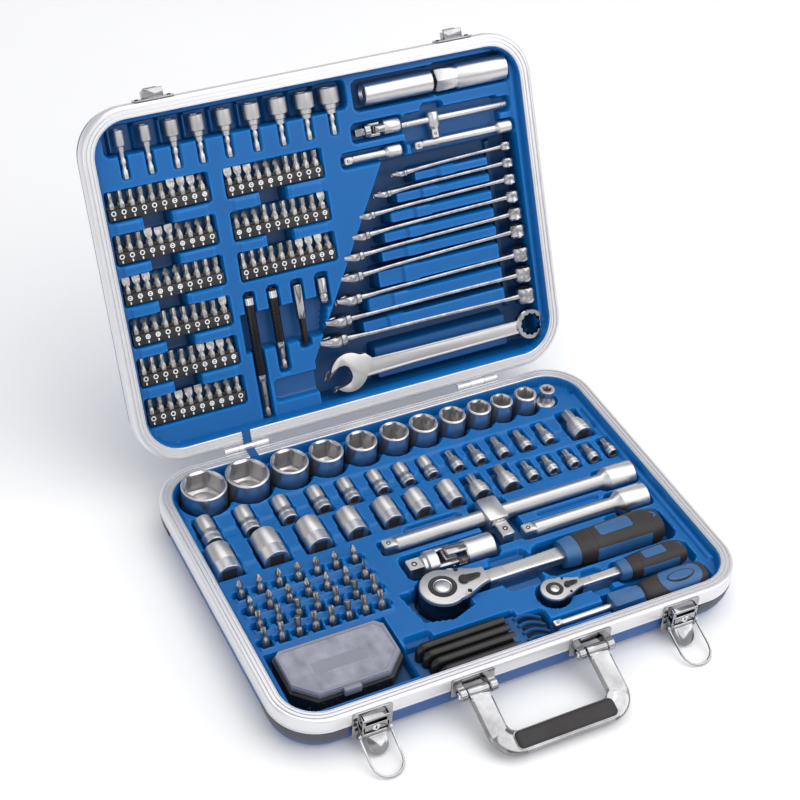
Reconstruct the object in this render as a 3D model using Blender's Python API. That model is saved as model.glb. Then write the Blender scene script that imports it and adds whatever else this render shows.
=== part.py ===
"""Socket wrench set in an open case: shells, rims, trays, hinges, latches, handle and the main tools.

All sizes are in millimetres. X runs along the case to the right, Y from the handle to the hinge, Z up.
The lid's parts are drawn flat with their tray up, on the same outline as the base, and turned at the end.
"""

import math
from collections import namedtuple

import bmesh
import bpy
from mathutils import Matrix, Vector

MM = 0.001

# Clearances
GAP = 0.3
PIN_GAP = 0.15
SIDE_GAP = 1.5
END_GAP = 3.0

# Case
CASE_W = 431.0
CASE_D = 317.0
HALF_H = 38.0
CORNER_R = 43.0
RIM_W = 11.5
RIM_T = 2.0
BAND_H = 14.2
BAND_T = 1.6
LIP_H = 9.7
SHELL_T = 1.6
SHELL_EDGE_R = 18.0
TRAY_T = 1.5
TRAY_DROP = 10.0
CUP_T = 1.2
SEAM_IN = 4.5
GROOVE_W = 2.4
GROOVE_H = 1.5
TONGUE_W = 1.6
TONGUE_H = 1.6
GUARD_T = 1.6
GUARD_REACH = 52.0
GUARD_FOOT = 3.5

# Hinge
HINGE_OUT = 2.9
HINGE_UP = 0.4
LID_OPEN = 115.0
HINGE_X = 118.0
HINGE_LEN = 42.0
KNUCKLE_R = 2.3
HINGE_PIN_R = 1.1
LEAF_T = 1.2
LEAF_H = 11.0
LEAF_DROP = 1.9

# Latch
LATCH_X = 143.0
LATCH_W = 35.0
LATCH_OUT = 6.0
LATCH_Z = 15.0
LATCH_PLATE_T = 1.3
LATCH_BODY_W = 24.0
LATCH_BODY_T = 8.0
LATCH_BODY_Z = (20.5, 34.0)
LATCH_SLOT_W = 18.0
LATCH_SLOT_Z = (27.5, 31.5)
LATCH_SLOT_DEPTH = 4.5
KEYHOLE_R = 2.6
KEYHOLE_Z = 23.6
LATCH_EAR_IN = 10.4
LATCH_EAR_OUT = 12.2
LATCH_EAR_Z = (11.5, 21.0)
LATCH_PIN_R = 1.2
LEVER_R = 2.3
LEVER_W = 18.0
LEVER_REACH = 8.0
LEVER_ROUND = 6.0
LEVER_T = 2.0
LEVER_DROOP = 45.0
BAIL_LEN = 38.0
BAIL_HALF = 13.6
BAIL_EYE_W = 2.5
BAIL_EYE_R = 2.6
WIRE_R = 1.1
BAIL_DROOP = 20.6
CATCH_W = 36.0
CATCH_H = 12.4
HOOK_W = 12.0
HOOK_REACH = 9.8
HOOK_T = 1.8
HOOK_LIP = 1.4
HOOK_DROP = 3.4
HOOK_Z = 50.0

# Handle
HANDLE_X = 54.5
HANDLE_OUT = 9.5
HANDLE_Z = 27.0
HANDLE_REACH = 62.0
HANDLE_HALF_W = 64.0
HANDLE_BAR = 20.0
HANDLE_DROOP = 18.5
BOW_OUTER_R = 24.0
BOW_INNER_R = 8.0
STRAP_W = 18.0
STRAP_T = 8.0
BOW_EYE_R = 4.47
HANDLE_PIN_R = 1.7
HANDLE_EAR_IN = 9.8
HANDLE_EAR_OUT = 17.0
HANDLE_EAR_R = 5.0
HANDLE_PLATE_W = 39.0
HANDLE_PLATE_T = 1.6
HANDLE_PLATE_Z = (17.0, 37.2)
PAD_HALF_W = 43.0
PAD_EDGE = 5.0
PAD_LIP = 1.5
PAD_FLOOR = 0.6
PAD_RISE = 1.2

# Standing sockets, largest first: x, outer radius, width across the hexagon's flats
SOCKET_Y = 124.0
SOCKET_H = 37.0
SOCKET_FLOOR = 6.0
SOCKET_CLEAR = 0.7
SOCKET_RIM = 0.8
SOCKET_HEX_FLOOR = 0.45
SOCKET_DRIVE = 6.4
SOCKET_WALL = 1.4
SOCKETS = (
    (-173.5, 20.4, 32.0),
    (-132.5, 19.7, 30.0),
    (-92.0, 17.3, 27.0),
    (-56.0, 15.7, 24.0),
    (-21.0, 14.4, 22.0),
    (12.0, 13.5, 21.0),
    (42.0, 13.5, 20.0),
    (72.0, 12.5, 18.0),
    (100.0, 11.4, 16.0),
    (124.0, 10.6, 15.0),
    (149.5, 10.6, 14.0),
)

# Ratchets. x, y and top place the head; a grip profile is (distance along, radius) from its start.
Ratchet = namedtuple(
    "Ratchet",
    "name x y top head_r head_t shank_end shank_w shank_t grip_start grip drive_r square square_len",
)
LARGE_RATCHET = Ratchet(
    "ratchet_large",
    -33.0,
    -63.0,
    36.0,
    20.0,
    20.0,
    96.0,
    14.0,
    9.0,
    82.0,
    ((0, 12), (8, 13.2), (26, 15.2), (56, 16.2), (84, 17.0), (97, 14.5), (102, 9)),
    13.5,
    12.4,
    11.0,
)
SMALL_RATCHET = Ratchet(
    "ratchet_small",
    53.0,
    -102.0,
    35.0,
    12.2,
    12.0,
    126.0,
    9.0,
    6.0,
    116.0,
    ((0, 8), (5, 9), (18, 10.6), (38, 11.4), (56, 11.6), (65, 9.5), (68, 6)),
    7.6,
    6.3,
    8.0,
)
GRIP_FLATTEN = 0.86
SHANK_DEPTH = 0.42
SHANK_START = 2.0
UNDERCUT_START = 1.45
GRIP_CAP = 1.2
HANG_HOLE_IN = 9.0
HANG_HOLE = 0.26
SPINDLE_LOW = 0.5
SPINDLE_TOP = 0.4
BUTTON = 0.62
BUTTON_WELL = 6.5
BUTTON_LOW = 3.6
BUTTON_TOP = 0.8
REVERSER_AT = 1.12
REVERSER_R = 0.2
REVERSER_LEN = 0.55
REVERSER_H = 2.3
REVERSER_ARM_H = 1.9

# Bars with a square end at x0 and a square socket at x1, lying along X
Extension = namedtuple("Extension", "name x0 x1 y z r end_r end_len drive")
LONG_EXTENSION = Extension("extension_long", -56.0, 194.0, 4.0, 28.0, 7.0, 11.6, 27.0, 12.4)
SHORT_EXTENSION = Extension("extension_short", 65.0, 190.0, -26.0, 27.0, 7.0, 11.6, 27.0, 12.4)
DRIVE_END_LEN = 12.0
DRIVE_END = 0.78
DRIVE_ROOT = 2.0
SHOULDER = 6.0
DRIVE_HOLE = 0.86
DRIVE_HOLE_DEPTH = 15.0

# Heads that slide on a bar: barrel from back to front along Y, square end from front to tip
SlidingHead = namedtuple("SlidingHead", "name x back front tip r square bar_y bar_z bar_r slide")
T_HEAD = SlidingHead("t_head", 50.0, 19.0, -11.0, -28.0, 10.8, 12.0, 4.0, 28.0, 7.0, (4.0, 8.0))
T_BAR_HEAD = SlidingHead("t_bar_head", 115.0, 98.0, 82.0, 74.0, 6.8, 6.3, 91.0, 26.0, 4.0, (22.0, 60.0))
HEAD_BORE = 0.42
T_BAR_X = (83.0, 191.0)

# Universal joint, lying along X
JOINT_X = (-47.0, 34.0)
JOINT_Y = -26.0
JOINT_Z = 25.2
JOINT_R = 12.0
JOINT_PIVOT = 39.0
JOINT_SQUARE_LEN = 14.0
JOINT_CHEEK_IN = 6.3
JOINT_CHEEK_OUT = 5.8
JOINT_CROSS = 6.0
JOINT_PIN_R = 2.5
JOINT_PIN_LEN = 10.5
JOINT_SWING = 4.5
JOINT_TRIM = 11.4
JOINT_SOCKET_DEPTH = 14.0
DRIVE = 12.4

# Spinner handle, lying along X; its profile is (radius, x)
SPINNER_Y = -131.0
SPINNER_Z = 25.0
SPINNER_SHAFT_X = (37.0, 112.0)
SPINNER_SHAFT_R = 3.2
SPINNER_SQUARE = 5.8
SPINNER_SQUARE_LEN = 7.0
SPINNER_COLLAR_X = (92.0, 122.0)
SPINNER_COLLAR = 17.0
SPINNER_END = 187.0
SPINNER_PROFILE = (
    (0, 121),
    (8, 121),
    (11.5, 126),
    (13, 140),
    (13.6, 160),
    (13.2, 178),
    (10.5, 185),
    (0, SPINNER_END),
)
SPINNER_CLEAR = 0.9

# Bit box
BOX_LEFT, BOX_RIGHT = -193.0, -94.0
BOX_BACK, BOX_FRONT = -72.0, -130.0
BOX_CUT = 17.0
BOX_FLOOR = 14.3
BOX_SPLIT = 29.0
BOX_TOP = 35.6
BOX_WALL = 1.6
BOX_LID_IN = 0.4
BOX_TAB_X = (-154.0, -139.0)
BOX_TAB_OUT = 2.2

# Recess for the hex keys, tray level
KEY_RECESS = (-86.0, 30.0, -143.0, -103.0)
KEY_RECESS_FLOOR = 18.0

# Lid: nut drivers, spark-plug sockets and edge-on wrenches lie in these recesses (x0, x1, y0, y1), floor
DRIVER_RECESS = ((-190.0, 32.0, 116.0, 141.0), 16.0)
PLUG_RECESS = ((40.0, 198.0, 112.0, 139.0), 14.0)
WRENCH_RECESS = ((-20.0, 198.0, -104.0, 58.0), 6.5)

# Large flat wrench in the lid
WRENCH_Y = -122.0
WRENCH_Z = (23.5, 30.0)
WRENCH_RING_X = 185.0
WRENCH_RING_R = 13.2
WRENCH_RING_HOLE = 9.2
WRENCH_JAW_X = -5.0
WRENCH_JAW_R = 15.0
WRENCH_JAW_GAP = 17.0
WRENCH_JAW_TILT = 15.0
WRENCH_SHANK = (15.0, 12.0)
WRENCH_STEP = 0.4

OUT_Y = CASE_D / 2
HINGE_Y = OUT_Y + HINGE_OUT
HINGE_Z = HALF_H + HINGE_UP
TRAY_Z = HALF_H - TRAY_DROP
LATCH_Y = -OUT_Y - LATCH_OUT
HANDLE_Y = -OUT_Y - HANDLE_OUT
ARC_STEPS = 5

COLOURS = {
    "shell_blue": ((0.055, 0.16, 0.42, 1), 0.45, 0.0),
    "rim_silver": ((0.78, 0.79, 0.82, 1), 0.35, 0.9),
    "tray_blue": ((0.02, 0.19, 0.52, 1), 0.5, 0.0),
    "chrome": ((0.78, 0.79, 0.80, 1), 0.12, 1.0),
    "satin_steel": ((0.62, 0.62, 0.63, 1), 0.35, 1.0),
    "guard_grey": ((0.10, 0.10, 0.13, 1), 0.55, 0.0),
    "black_plastic": ((0.02, 0.02, 0.022, 1), 0.5, 0.0),
    "grip_blue": ((0.03, 0.13, 0.42, 1), 0.5, 0.0),
    "clear_lid": ((0.55, 0.60, 0.72, 1), 0.3, 0.0),
}


def clear_scene():
    for obj in list(bpy.data.objects):
        bpy.data.objects.remove(obj, do_unlink=True)


clear_scene()
PARTS = bpy.data.collections.new("socket_wrench_set")
CUTTERS = bpy.data.collections.new("cutters")
bpy.context.scene.collection.children.link(PARTS)
bpy.context.scene.collection.children.link(CUTTERS)
CUTTERS.hide_render = True


def material(slot):
    made = bpy.data.materials.get(slot)
    if made:
        return made
    colour, rough, metal = COLOURS[slot]
    made = bpy.data.materials.new(slot)
    made.use_nodes = True
    shader = made.node_tree.nodes["Principled BSDF"]
    shader.inputs["Base Color"].default_value = colour
    shader.inputs["Roughness"].default_value = rough
    shader.inputs["Metallic"].default_value = metal
    return made


def finish_mesh(name, bm, slot=None, smooth=False):
    """Turns a bmesh in millimetres into an object in metres: a node with a slot, or a cutter without one."""
    bmesh.ops.recalc_face_normals(bm, faces=bm.faces)
    bmesh.ops.scale(bm, vec=(MM, MM, MM), verts=bm.verts)
    mesh = bpy.data.meshes.new(name)
    bm.to_mesh(mesh)
    bm.free()
    obj = bpy.data.objects.new(name, mesh)
    if slot:
        PARTS.objects.link(obj)
        mesh.materials.append(material(slot))
        for face in mesh.polygons:
            face.use_smooth = smooth
    else:
        CUTTERS.objects.link(obj)
        obj.display_type = "WIRE"
        obj.hide_render = True
    return obj


# ---------------------------------------------------------------- shapes


def arc(cx, cy, r, start, end, steps):
    """Points on a circle from one angle to another, in degrees, ends included."""
    angles = [math.radians(start + (end - start) * i / steps) for i in range(steps + 1)]
    return [(cx + r * math.cos(a), cy + r * math.sin(a)) for a in angles]


def circle(cx, cy, r, count):
    return arc(cx, cy, r, 0, 360, count)[:-1]


def inset_rect(inset):
    """The case's outline drawn in by a distance."""
    x, y, r = CASE_W / 2 - CORNER_R, CASE_D / 2 - CORNER_R, CORNER_R - inset
    points = []
    for cx, cy, start in ((x, y, 0), (-x, y, 90), (-x, -y, 180), (x, -y, 270)):
        points += arc(cx, cy, r, start, start + 90, ARC_STEPS)
    return points


def extrude_up(bm, faces, height):
    made = bmesh.ops.extrude_face_region(bm, geom=faces)["geom"]
    top = [v for v in made if isinstance(v, bmesh.types.BMVert)]
    bmesh.ops.translate(bm, verts=top, vec=(0, 0, height))
    return bm


def prism_bm(outline, z0, z1):
    bm = bmesh.new()
    face = bm.faces.new([bm.verts.new((x, y, z0)) for x, y in outline])
    return extrude_up(bm, [face], z1 - z0)


def ring_bm(outer_inset, inner_inset, z0, z1):
    """A closed band between two insets of the case outline."""
    bm = bmesh.new()
    edges = []
    for inset in (outer_inset, inner_inset):
        verts = [bm.verts.new((x, y, z0)) for x, y in inset_rect(inset)]
        edges += [bm.edges.new(pair) for pair in zip(verts, verts[1:] + verts[:1])]
    ring = bmesh.ops.bridge_loops(bm, edges=edges)["faces"]
    return extrude_up(bm, ring, z1 - z0)


def lathe_bm(profile, count, axis="Z"):
    """A solid of revolution from (radius, height) pairs that start and end on the axis."""
    bm = bmesh.new()
    verts = [bm.verts.new((r, 0, z)) for r, z in profile]
    edges = [bm.edges.new(pair) for pair in zip(verts, verts[1:])]
    bmesh.ops.spin(
        bm, geom=verts + edges, cent=(0, 0, 0), axis=(0, 0, 1), angle=math.tau, steps=count
    )
    bmesh.ops.remove_doubles(bm, verts=bm.verts, dist=MM)
    if axis == "X":
        turn(bm, 90, "Y")
    if axis == "Y":
        turn(bm, -90, "X")
    return bm


def box_bm(x0, x1, y0, y1, z0, z1):
    bm = bmesh.new()
    bmesh.ops.create_cube(bm, size=1)
    bmesh.ops.scale(bm, vec=(x1 - x0, y1 - y0, z1 - z0), verts=bm.verts)
    return shift(bm, (x0 + x1) / 2, (y0 + y1) / 2, (z0 + z1) / 2)


def round_bar(x0, x1, r, y, z, count=16):
    """A plain cylinder along X."""
    bm = lathe_bm(((0, x0), (r, x0), (r, x1), (0, x1)), count, "X")
    return shift(bm, 0, y, z)


def square_bar(x0, x1, width, y, z):
    half = width / 2
    return box_bm(x0, x1, y - half, y + half, z - half, z + half)


def shift(bm, x=0.0, y=0.0, z=0.0):
    bmesh.ops.translate(bm, verts=bm.verts, vec=(x, y, z))
    return bm


def turn(bm, degrees, axis, centre=(0, 0, 0)):
    spin = Matrix.Rotation(math.radians(degrees), 3, axis)
    bmesh.ops.rotate(bm, cent=centre, matrix=spin, verts=bm.verts)
    return bm


def bevel_low_edges(bm, z, width, segments=4):
    low = [e for e in bm.edges if all(abs(v.co.z - z) < MM for v in e.verts)]
    bmesh.ops.bevel(
        bm, geom=low, offset=width, segments=segments, profile=0.5, affect="EDGES", clamp_overlap=False
    )
    return bm


def boolean(obj, other, operation):
    mod = obj.modifiers.new(operation.lower(), "BOOLEAN")
    mod.operation = operation
    mod.solver = "EXACT"
    mod.object = other


def cut(obj, bm):
    boolean(obj, finish_mesh(obj.name + "_cutter", bm), "DIFFERENCE")


def join(obj, bm):
    boolean(obj, finish_mesh(obj.name + "_piece", bm), "UNION")


def apply_modifiers(obj):
    """Freezes the Booleans into the mesh, so that the lid can be turned afterwards."""
    graph = bpy.context.evaluated_depsgraph_get()
    mesh = bpy.data.meshes.new_from_object(obj.evaluated_get(graph))
    obj.modifiers.clear()
    obj.data = mesh


def side_word(side):
    return "left" if side < 0 else "right"


# ---------------------------------------------------------------- case halves


def case_shell(name):
    side = BAND_T + GAP
    bm = prism_bm(inset_rect(side), 0, HALF_H - RIM_T - GAP)
    shell = finish_mesh(name, bevel_low_edges(bm, 0, SHELL_EDGE_R), "shell_blue")
    hollow = prism_bm(inset_rect(side + SHELL_T), SHELL_T, HALF_H)
    cut(shell, bevel_low_edges(hollow, SHELL_T, SHELL_EDGE_R - SHELL_T))
    return shell


def case_frame(name, tongue):
    """The rim: a flat top, an outer band and an inner lip, with half of the seam along its top."""
    top = HALF_H
    frame = finish_mesh(name, ring_bm(0, RIM_W, top - BAND_H, top), "rim_silver")
    cut(frame, ring_bm(BAND_T, RIM_W - BAND_T, top - BAND_H - 1, top - RIM_T))
    cut(frame, ring_bm(RIM_W - BAND_T - 1, RIM_W + 1, top - BAND_H - 1, top - LIP_H))
    if tongue:
        half = TONGUE_W / 2
        join(frame, ring_bm(SEAM_IN - half, SEAM_IN + half, top - 1, top + TONGUE_H))
    else:
        half = GROOVE_W / 2
        cut(frame, ring_bm(SEAM_IN - half, SEAM_IN + half, top - GROOVE_H, top + 1))
    return frame


def pocket_bm(shape, z0, z1, grow=0.0):
    """shape is (x0, x1, y0, y1) for a box or (x, y, radius) for a round pocket."""
    if len(shape) == 3:
        x, y, r = shape
        return prism_bm(circle(x, y, r + grow, 24), z0, z1)
    x0, x1, y0, y1 = shape
    return box_bm(x0 - grow, x1 + grow, y0 - grow, y1 + grow, z0, z1)


def tray(name, pockets):
    """A moulded sheet with thin-walled pockets; each pocket is (shape, floor height)."""
    inset = BAND_T + GAP + SHELL_T + GAP
    sheet = finish_mesh(name, prism_bm(inset_rect(inset), TRAY_Z - TRAY_T, TRAY_Z), "tray_blue")
    for shape, floor in pockets:
        join(sheet, pocket_bm(shape, floor - CUP_T, TRAY_Z - TRAY_T / 4, CUP_T))
    for shape, floor in pockets:
        cut(sheet, pocket_bm(shape, floor, TRAY_Z + 1))
    return sheet


def socket_pockets():
    return [((x, SOCKET_Y, r + SOCKET_CLEAR), SOCKET_FLOOR) for x, r, _ in SOCKETS]


def ratchet_pockets(tool):
    widest = max(r for _, r in tool.grip)
    low = tool.top - tool.head_t - tool.square_len
    middle = tool.top - tool.head_t * SHANK_DEPTH
    end = tool.grip_start + tool.grip[-1][0] + GRIP_CAP + END_GAP
    half = widest + SIDE_GAP
    head = (tool.x, tool.y, tool.head_r + SIDE_GAP)
    grip = (tool.x + tool.head_r / 2, end, tool.y - half, tool.y + half)
    return [(head, low - GAP), (grip, middle - widest * GRIP_FLATTEN - GAP)]


def extension_pockets(bar):
    half, end_half = bar.r + SIDE_GAP, bar.end_r + SIDE_GAP
    neck = bar.x1 - bar.end_len - SHOULDER
    thin = (bar.x0 - END_GAP, neck + SIDE_GAP, bar.y - half, bar.y + half)
    thick = (neck - SIDE_GAP, bar.x1 + SIDE_GAP, bar.y - end_half, bar.y + end_half)
    return [(thin, bar.z - bar.r - GAP), (thick, bar.z - bar.end_r - GAP)]


def head_pocket(head, x0, x1):
    low = head.bar_z - head.r - GAP
    return ((x0, x1, head.tip - SIDE_GAP, head.back + SIDE_GAP), low)


def joint_pocket():
    half = JOINT_R + JOINT_SWING
    x0, x1 = JOINT_X
    shape = (x0 - END_GAP, x1 + END_GAP, JOINT_Y - half, JOINT_Y + half)
    return (shape, JOINT_Z - JOINT_R - 2 * GAP - PIN_GAP)


def spinner_pockets():
    thin = SPINNER_SQUARE / 2 + END_GAP
    widest = max(r for r, _ in SPINNER_PROFILE)
    wide = widest + SPINNER_CLEAR
    x0, x1 = SPINNER_SHAFT_X
    shaft = (x0 - END_GAP, x1, SPINNER_Y - thin, SPINNER_Y + thin)
    grip_x0 = SPINNER_COLLAR_X[0] - END_GAP
    grip = (grip_x0, SPINNER_END + SIDE_GAP, SPINNER_Y - wide, SPINNER_Y + wide)
    return [(shaft, SPINNER_Z - SPINNER_SHAFT_R - SIDE_GAP), (grip, SPINNER_Z - widest - GAP)]


def base_pockets():
    pockets = socket_pockets()
    pockets += ratchet_pockets(LARGE_RATCHET)
    pockets.append(joint_pocket())
    pockets += extension_pockets(LONG_EXTENSION)
    reach = T_HEAD.r + SIDE_GAP
    left, right = T_HEAD.slide
    pockets.append(head_pocket(T_HEAD, T_HEAD.x - left - reach, T_HEAD.x + right + reach))
    pockets += extension_pockets(SHORT_EXTENSION)
    pockets += ratchet_pockets(SMALL_RATCHET)
    pockets += spinner_pockets()
    box = (BOX_LEFT - END_GAP, BOX_RIGHT + END_GAP, BOX_FRONT - BOX_TAB_OUT - END_GAP, BOX_BACK + END_GAP)
    pockets.append((box, BOX_FLOOR - GAP))
    pockets.append((KEY_RECESS, KEY_RECESS_FLOOR))
    return pockets


def lid_pockets():
    x0, x1 = T_BAR_X
    half = WRENCH_JAW_R + END_GAP
    wrench_x0 = WRENCH_JAW_X - WRENCH_JAW_R - END_GAP
    wrench = (wrench_x0, WRENCH_RING_X + WRENCH_RING_R + GAP, WRENCH_Y - half, WRENCH_Y + WRENCH_JAW_R)
    return [
        DRIVER_RECESS,
        PLUG_RECESS,
        head_pocket(T_BAR_HEAD, x0 - END_GAP, x1 + END_GAP),
        WRENCH_RECESS,
        (wrench, WRENCH_Z[0] - GAP),
    ]


# ---------------------------------------------------------------- base tools


def socket(index, x, radius, across):
    """A standing socket: hexagon opening above, square drive hole through its foot."""
    z0 = SOCKET_FLOOR + GAP
    z1 = z0 + SOCKET_H
    profile = (
        (0, z0),
        (radius - SOCKET_RIM, z0),
        (radius, z0 + SOCKET_RIM),
        (radius, z1 - SOCKET_RIM),
        (radius - SOCKET_RIM, z1),
        (0, z1),
    )
    bm = shift(lathe_bm(profile, 28), x, SOCKET_Y)
    body = finish_mesh("socket_%02d" % index, bm, "satin_steel", True)
    hex_r = across / 2 / math.cos(math.pi / 6)
    cut(body, prism_bm(circle(x, SOCKET_Y, hex_r, 6), z0 + SOCKET_H * SOCKET_HEX_FLOOR, z1 + 1))
    half = min(SOCKET_DRIVE, across / 2 - SOCKET_WALL)
    cut(body, box_bm(x - half, x + half, SOCKET_Y - half, SOCKET_Y + half, z0 - 1, z1 - SIDE_GAP))


def ratchet_body(tool, low, mid):
    x, y, r = tool.x, tool.y, tool.head_r
    neck = x + SHANK_START * r
    half_w, half_t = tool.shank_w / 2, tool.shank_t / 2
    outline = arc(x, y, r, 45, 315, 18) + [(neck, y - half_w), (neck, y + half_w)]
    body = finish_mesh(tool.name + "_body", prism_bm(outline, low, tool.top), "satin_steel")
    join(body, box_bm(neck - half_w, tool.shank_end, y - half_w, y + half_w, mid - half_t, mid + half_t))
    cut(body, prism_bm(circle(x, y, tool.drive_r + GAP, 28), low - 1, tool.top + 1))
    wide = 2 * r
    cut(body, box_bm(x + UNDERCUT_START * r, neck + wide, y - wide, y + wide, low - 1, mid - half_t))
    return body


def ratchet_grip(tool, mid):
    start, y = tool.grip_start, tool.y
    end = start + tool.grip[-1][0]
    profile = [(0, start)] + [(r, start + along) for along, r in tool.grip] + [(0, end + GRIP_CAP)]
    bm = lathe_bm(profile, 20, "X")
    bmesh.ops.scale(bm, vec=(1, 1, GRIP_FLATTEN), verts=bm.verts)
    grip = finish_mesh(tool.name + "_grip", shift(bm, 0, y, mid), "grip_blue", True)
    half_w, half_t = tool.shank_w / 2 + GAP, tool.shank_t / 2 + GAP
    cut(grip, box_bm(start - 1, tool.shank_end + GAP, y - half_w, y + half_w, mid - half_t, mid + half_t))
    hole_r = tool.grip[1][1] * HANG_HOLE
    cut(grip, prism_bm(circle(end - HANG_HOLE_IN, y, hole_r, 16), mid - 2 * tool.head_r, mid + 2 * tool.head_r))


def ratchet_drive(tool, low):
    x, y, top = tool.x, tool.y, tool.top
    half = tool.square / 2
    button_r = tool.drive_r * BUTTON
    drum = prism_bm(circle(x, y, tool.drive_r, 28), low + SPINDLE_LOW, top - SPINDLE_TOP)
    drive = finish_mesh(tool.name + "_drive", drum, "black_plastic")
    join(drive, box_bm(x - half, x + half, y - half, y + half, low - tool.square_len, low + 2))
    cut(drive, prism_bm(circle(x, y, button_r + GAP, 24), top - BUTTON_WELL, top + 1))
    button = prism_bm(circle(x, y, button_r, 24), top - BUTTON_LOW, top + BUTTON_TOP)
    finish_mesh(tool.name + "_button", button, "chrome")


def ratchet_reverser(tool):
    r, y, z = tool.head_r, tool.y, tool.top + GAP
    x = tool.x + r * REVERSER_AT
    knob = prism_bm(circle(x, y, r * REVERSER_R, 16), z, z + REVERSER_H)
    lever = finish_mesh(tool.name + "_reverser", knob, "black_plastic")
    half = r * REVERSER_R / 2
    join(lever, box_bm(x, x + r * REVERSER_LEN, y - half, y + half, z, z + REVERSER_ARM_H))


def ratchet(tool):
    """A ratchet lying along +X, with its drive square down."""
    low = tool.top - tool.head_t
    mid = tool.top - tool.head_t * SHANK_DEPTH
    ratchet_body(tool, low, mid)
    ratchet_grip(tool, mid)
    ratchet_drive(tool, low)
    ratchet_reverser(tool)


def joint_fork(bm, slot_axis, name, pivot):
    """Cuts a fork's slot, the flats outside its cheeks and its pin hole. slot_axis is the pins' axis."""
    fork = finish_mesh(name, bm, "chrome")
    wide = 2 * JOINT_R
    lengths = (pivot - JOINT_PIN_LEN - END_GAP, pivot + JOINT_PIN_LEN + END_GAP)
    if slot_axis == "Y":
        lengths = (lengths[0], pivot + JOINT_PIN_LEN - SIDE_GAP)
    else:
        lengths = (pivot - JOINT_PIN_LEN + SIDE_GAP, lengths[1])
    y, z, slot = JOINT_Y, JOINT_Z, JOINT_CHEEK_IN
    if slot_axis == "Y":
        cut(fork, box_bm(*lengths, y - slot, y + slot, z - wide, z + wide))
    else:
        cut(fork, box_bm(*lengths, y - wide, y + wide, z - slot, z + slot))
    for side in (-1, 1):
        flat, far = side * JOINT_CHEEK_OUT, side * wide
        if slot_axis == "Y":
            low, high = sorted((z + flat, z + far))
            cut(fork, box_bm(*lengths, y - wide, y + wide, low, high))
        else:
            low, high = sorted((y + flat, y + far))
            cut(fork, box_bm(*lengths, low, high, z - wide, z + wide))
    hole_r = JOINT_PIN_R + PIN_GAP
    hole = ((0, -wide), (hole_r, -wide), (hole_r, wide), (0, wide))
    cut(fork, shift(lathe_bm(hole, 16, slot_axis), pivot, y, z))
    return fork


def universal_joint():
    """Square drive end, cross and socket end along +X; the cross turns in both forks."""
    x0, x1 = JOINT_X
    y, z, r = JOINT_Y, JOINT_Z, JOINT_R
    pivot = x0 + JOINT_PIVOT
    near = round_bar(x0 + JOINT_SQUARE_LEN, pivot + 5, r, y, z, 24)
    body = joint_fork(near, "Y", "joint_drive_end", pivot)
    join(body, square_bar(x0, x0 + JOINT_SQUARE_LEN + DRIVE_ROOT, DRIVE, y, z))
    core = square_bar(pivot - JOINT_CROSS, pivot + JOINT_CROSS, 2 * JOINT_CROSS, y, z)
    cross = finish_mesh("joint_cross", core, "chrome")
    length = JOINT_PIN_LEN
    pin = ((0, -length), (JOINT_PIN_R, -length), (JOINT_PIN_R, length), (0, length))
    join(cross, shift(lathe_bm(pin, 16, "Y"), pivot, y, z))
    join(cross, shift(lathe_bm(pin, 16), pivot, y, z))
    far = joint_fork(round_bar(pivot - 5, x1, r + PIN_GAP + GAP, y, z, 24), "Z", "joint_socket_end", pivot)
    for side in (-1, 1):
        low, high = sorted((z + side * JOINT_TRIM, z + side * 2 * r))
        cut(far, box_bm(pivot - 9, pivot + 11, y - 2 * r, y + 2 * r, low, high))
    cut(far, square_bar(x1 - JOINT_SOCKET_DEPTH, x1 + 1, DRIVE + 2 * GAP, y, z))


def extension(tool):
    """A bar along X with a square end on the left and a shouldered square socket on the right."""
    y, z = tool.y, tool.z
    neck = tool.x1 - tool.end_len
    bar = finish_mesh(tool.name, round_bar(tool.x0 + DRIVE_END_LEN, neck, tool.r, y, z, 20), "chrome")
    root = tool.r - GAP
    profile = ((0, -SHOULDER), (root, -SHOULDER), (tool.end_r, 0), (tool.end_r, tool.end_len), (0, tool.end_len))
    join(bar, shift(lathe_bm(profile, 24, "X"), neck, y, z))
    join(bar, square_bar(tool.x0, tool.x0 + DRIVE_END_LEN + DRIVE_ROOT, tool.drive * DRIVE_END, y, z))
    cut(bar, square_bar(tool.x1 - DRIVE_HOLE_DEPTH, tool.x1 + 1, tool.drive * DRIVE_HOLE, y, z))


def sliding_head(tool):
    """A barrel across its bar, with a square end towards the front."""
    profile = ((0, tool.front), (tool.r, tool.front), (tool.r, tool.back), (0, tool.back))
    head = finish_mesh(tool.name, shift(lathe_bm(profile, 20, "Y"), tool.x, 0, tool.bar_z), "chrome")
    half = tool.square / 2
    z = tool.bar_z
    join(head, box_bm(tool.x - half, tool.x + half, tool.tip, tool.front + 1, z - half, z + half))
    bore = tool.bar_r + HEAD_BORE
    cut(head, round_bar(tool.x - 2 * tool.r, tool.x + 2 * tool.r, bore, tool.bar_y, z, 20))
    return head


def spinner_handle():
    y, z = SPINNER_Y, SPINNER_Z
    x0, x1 = SPINNER_SHAFT_X
    square_end = x0 + SPINNER_SQUARE_LEN
    shaft = finish_mesh("spinner_shaft", round_bar(square_end, x1, SPINNER_SHAFT_R, y, z), "satin_steel")
    join(shaft, square_bar(x0, square_end + DRIVE_ROOT, SPINNER_SQUARE, y, z))
    grip = finish_mesh("spinner_grip", square_bar(*SPINNER_COLLAR_X, SPINNER_COLLAR, y, z), "grip_blue")
    join(grip, shift(lathe_bm(SPINNER_PROFILE, 20, "X"), 0, y, z))
    cut(grip, round_bar(SPINNER_COLLAR_X[0] - 2, x1 + 1, SPINNER_SHAFT_R + GAP, y, z))


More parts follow.
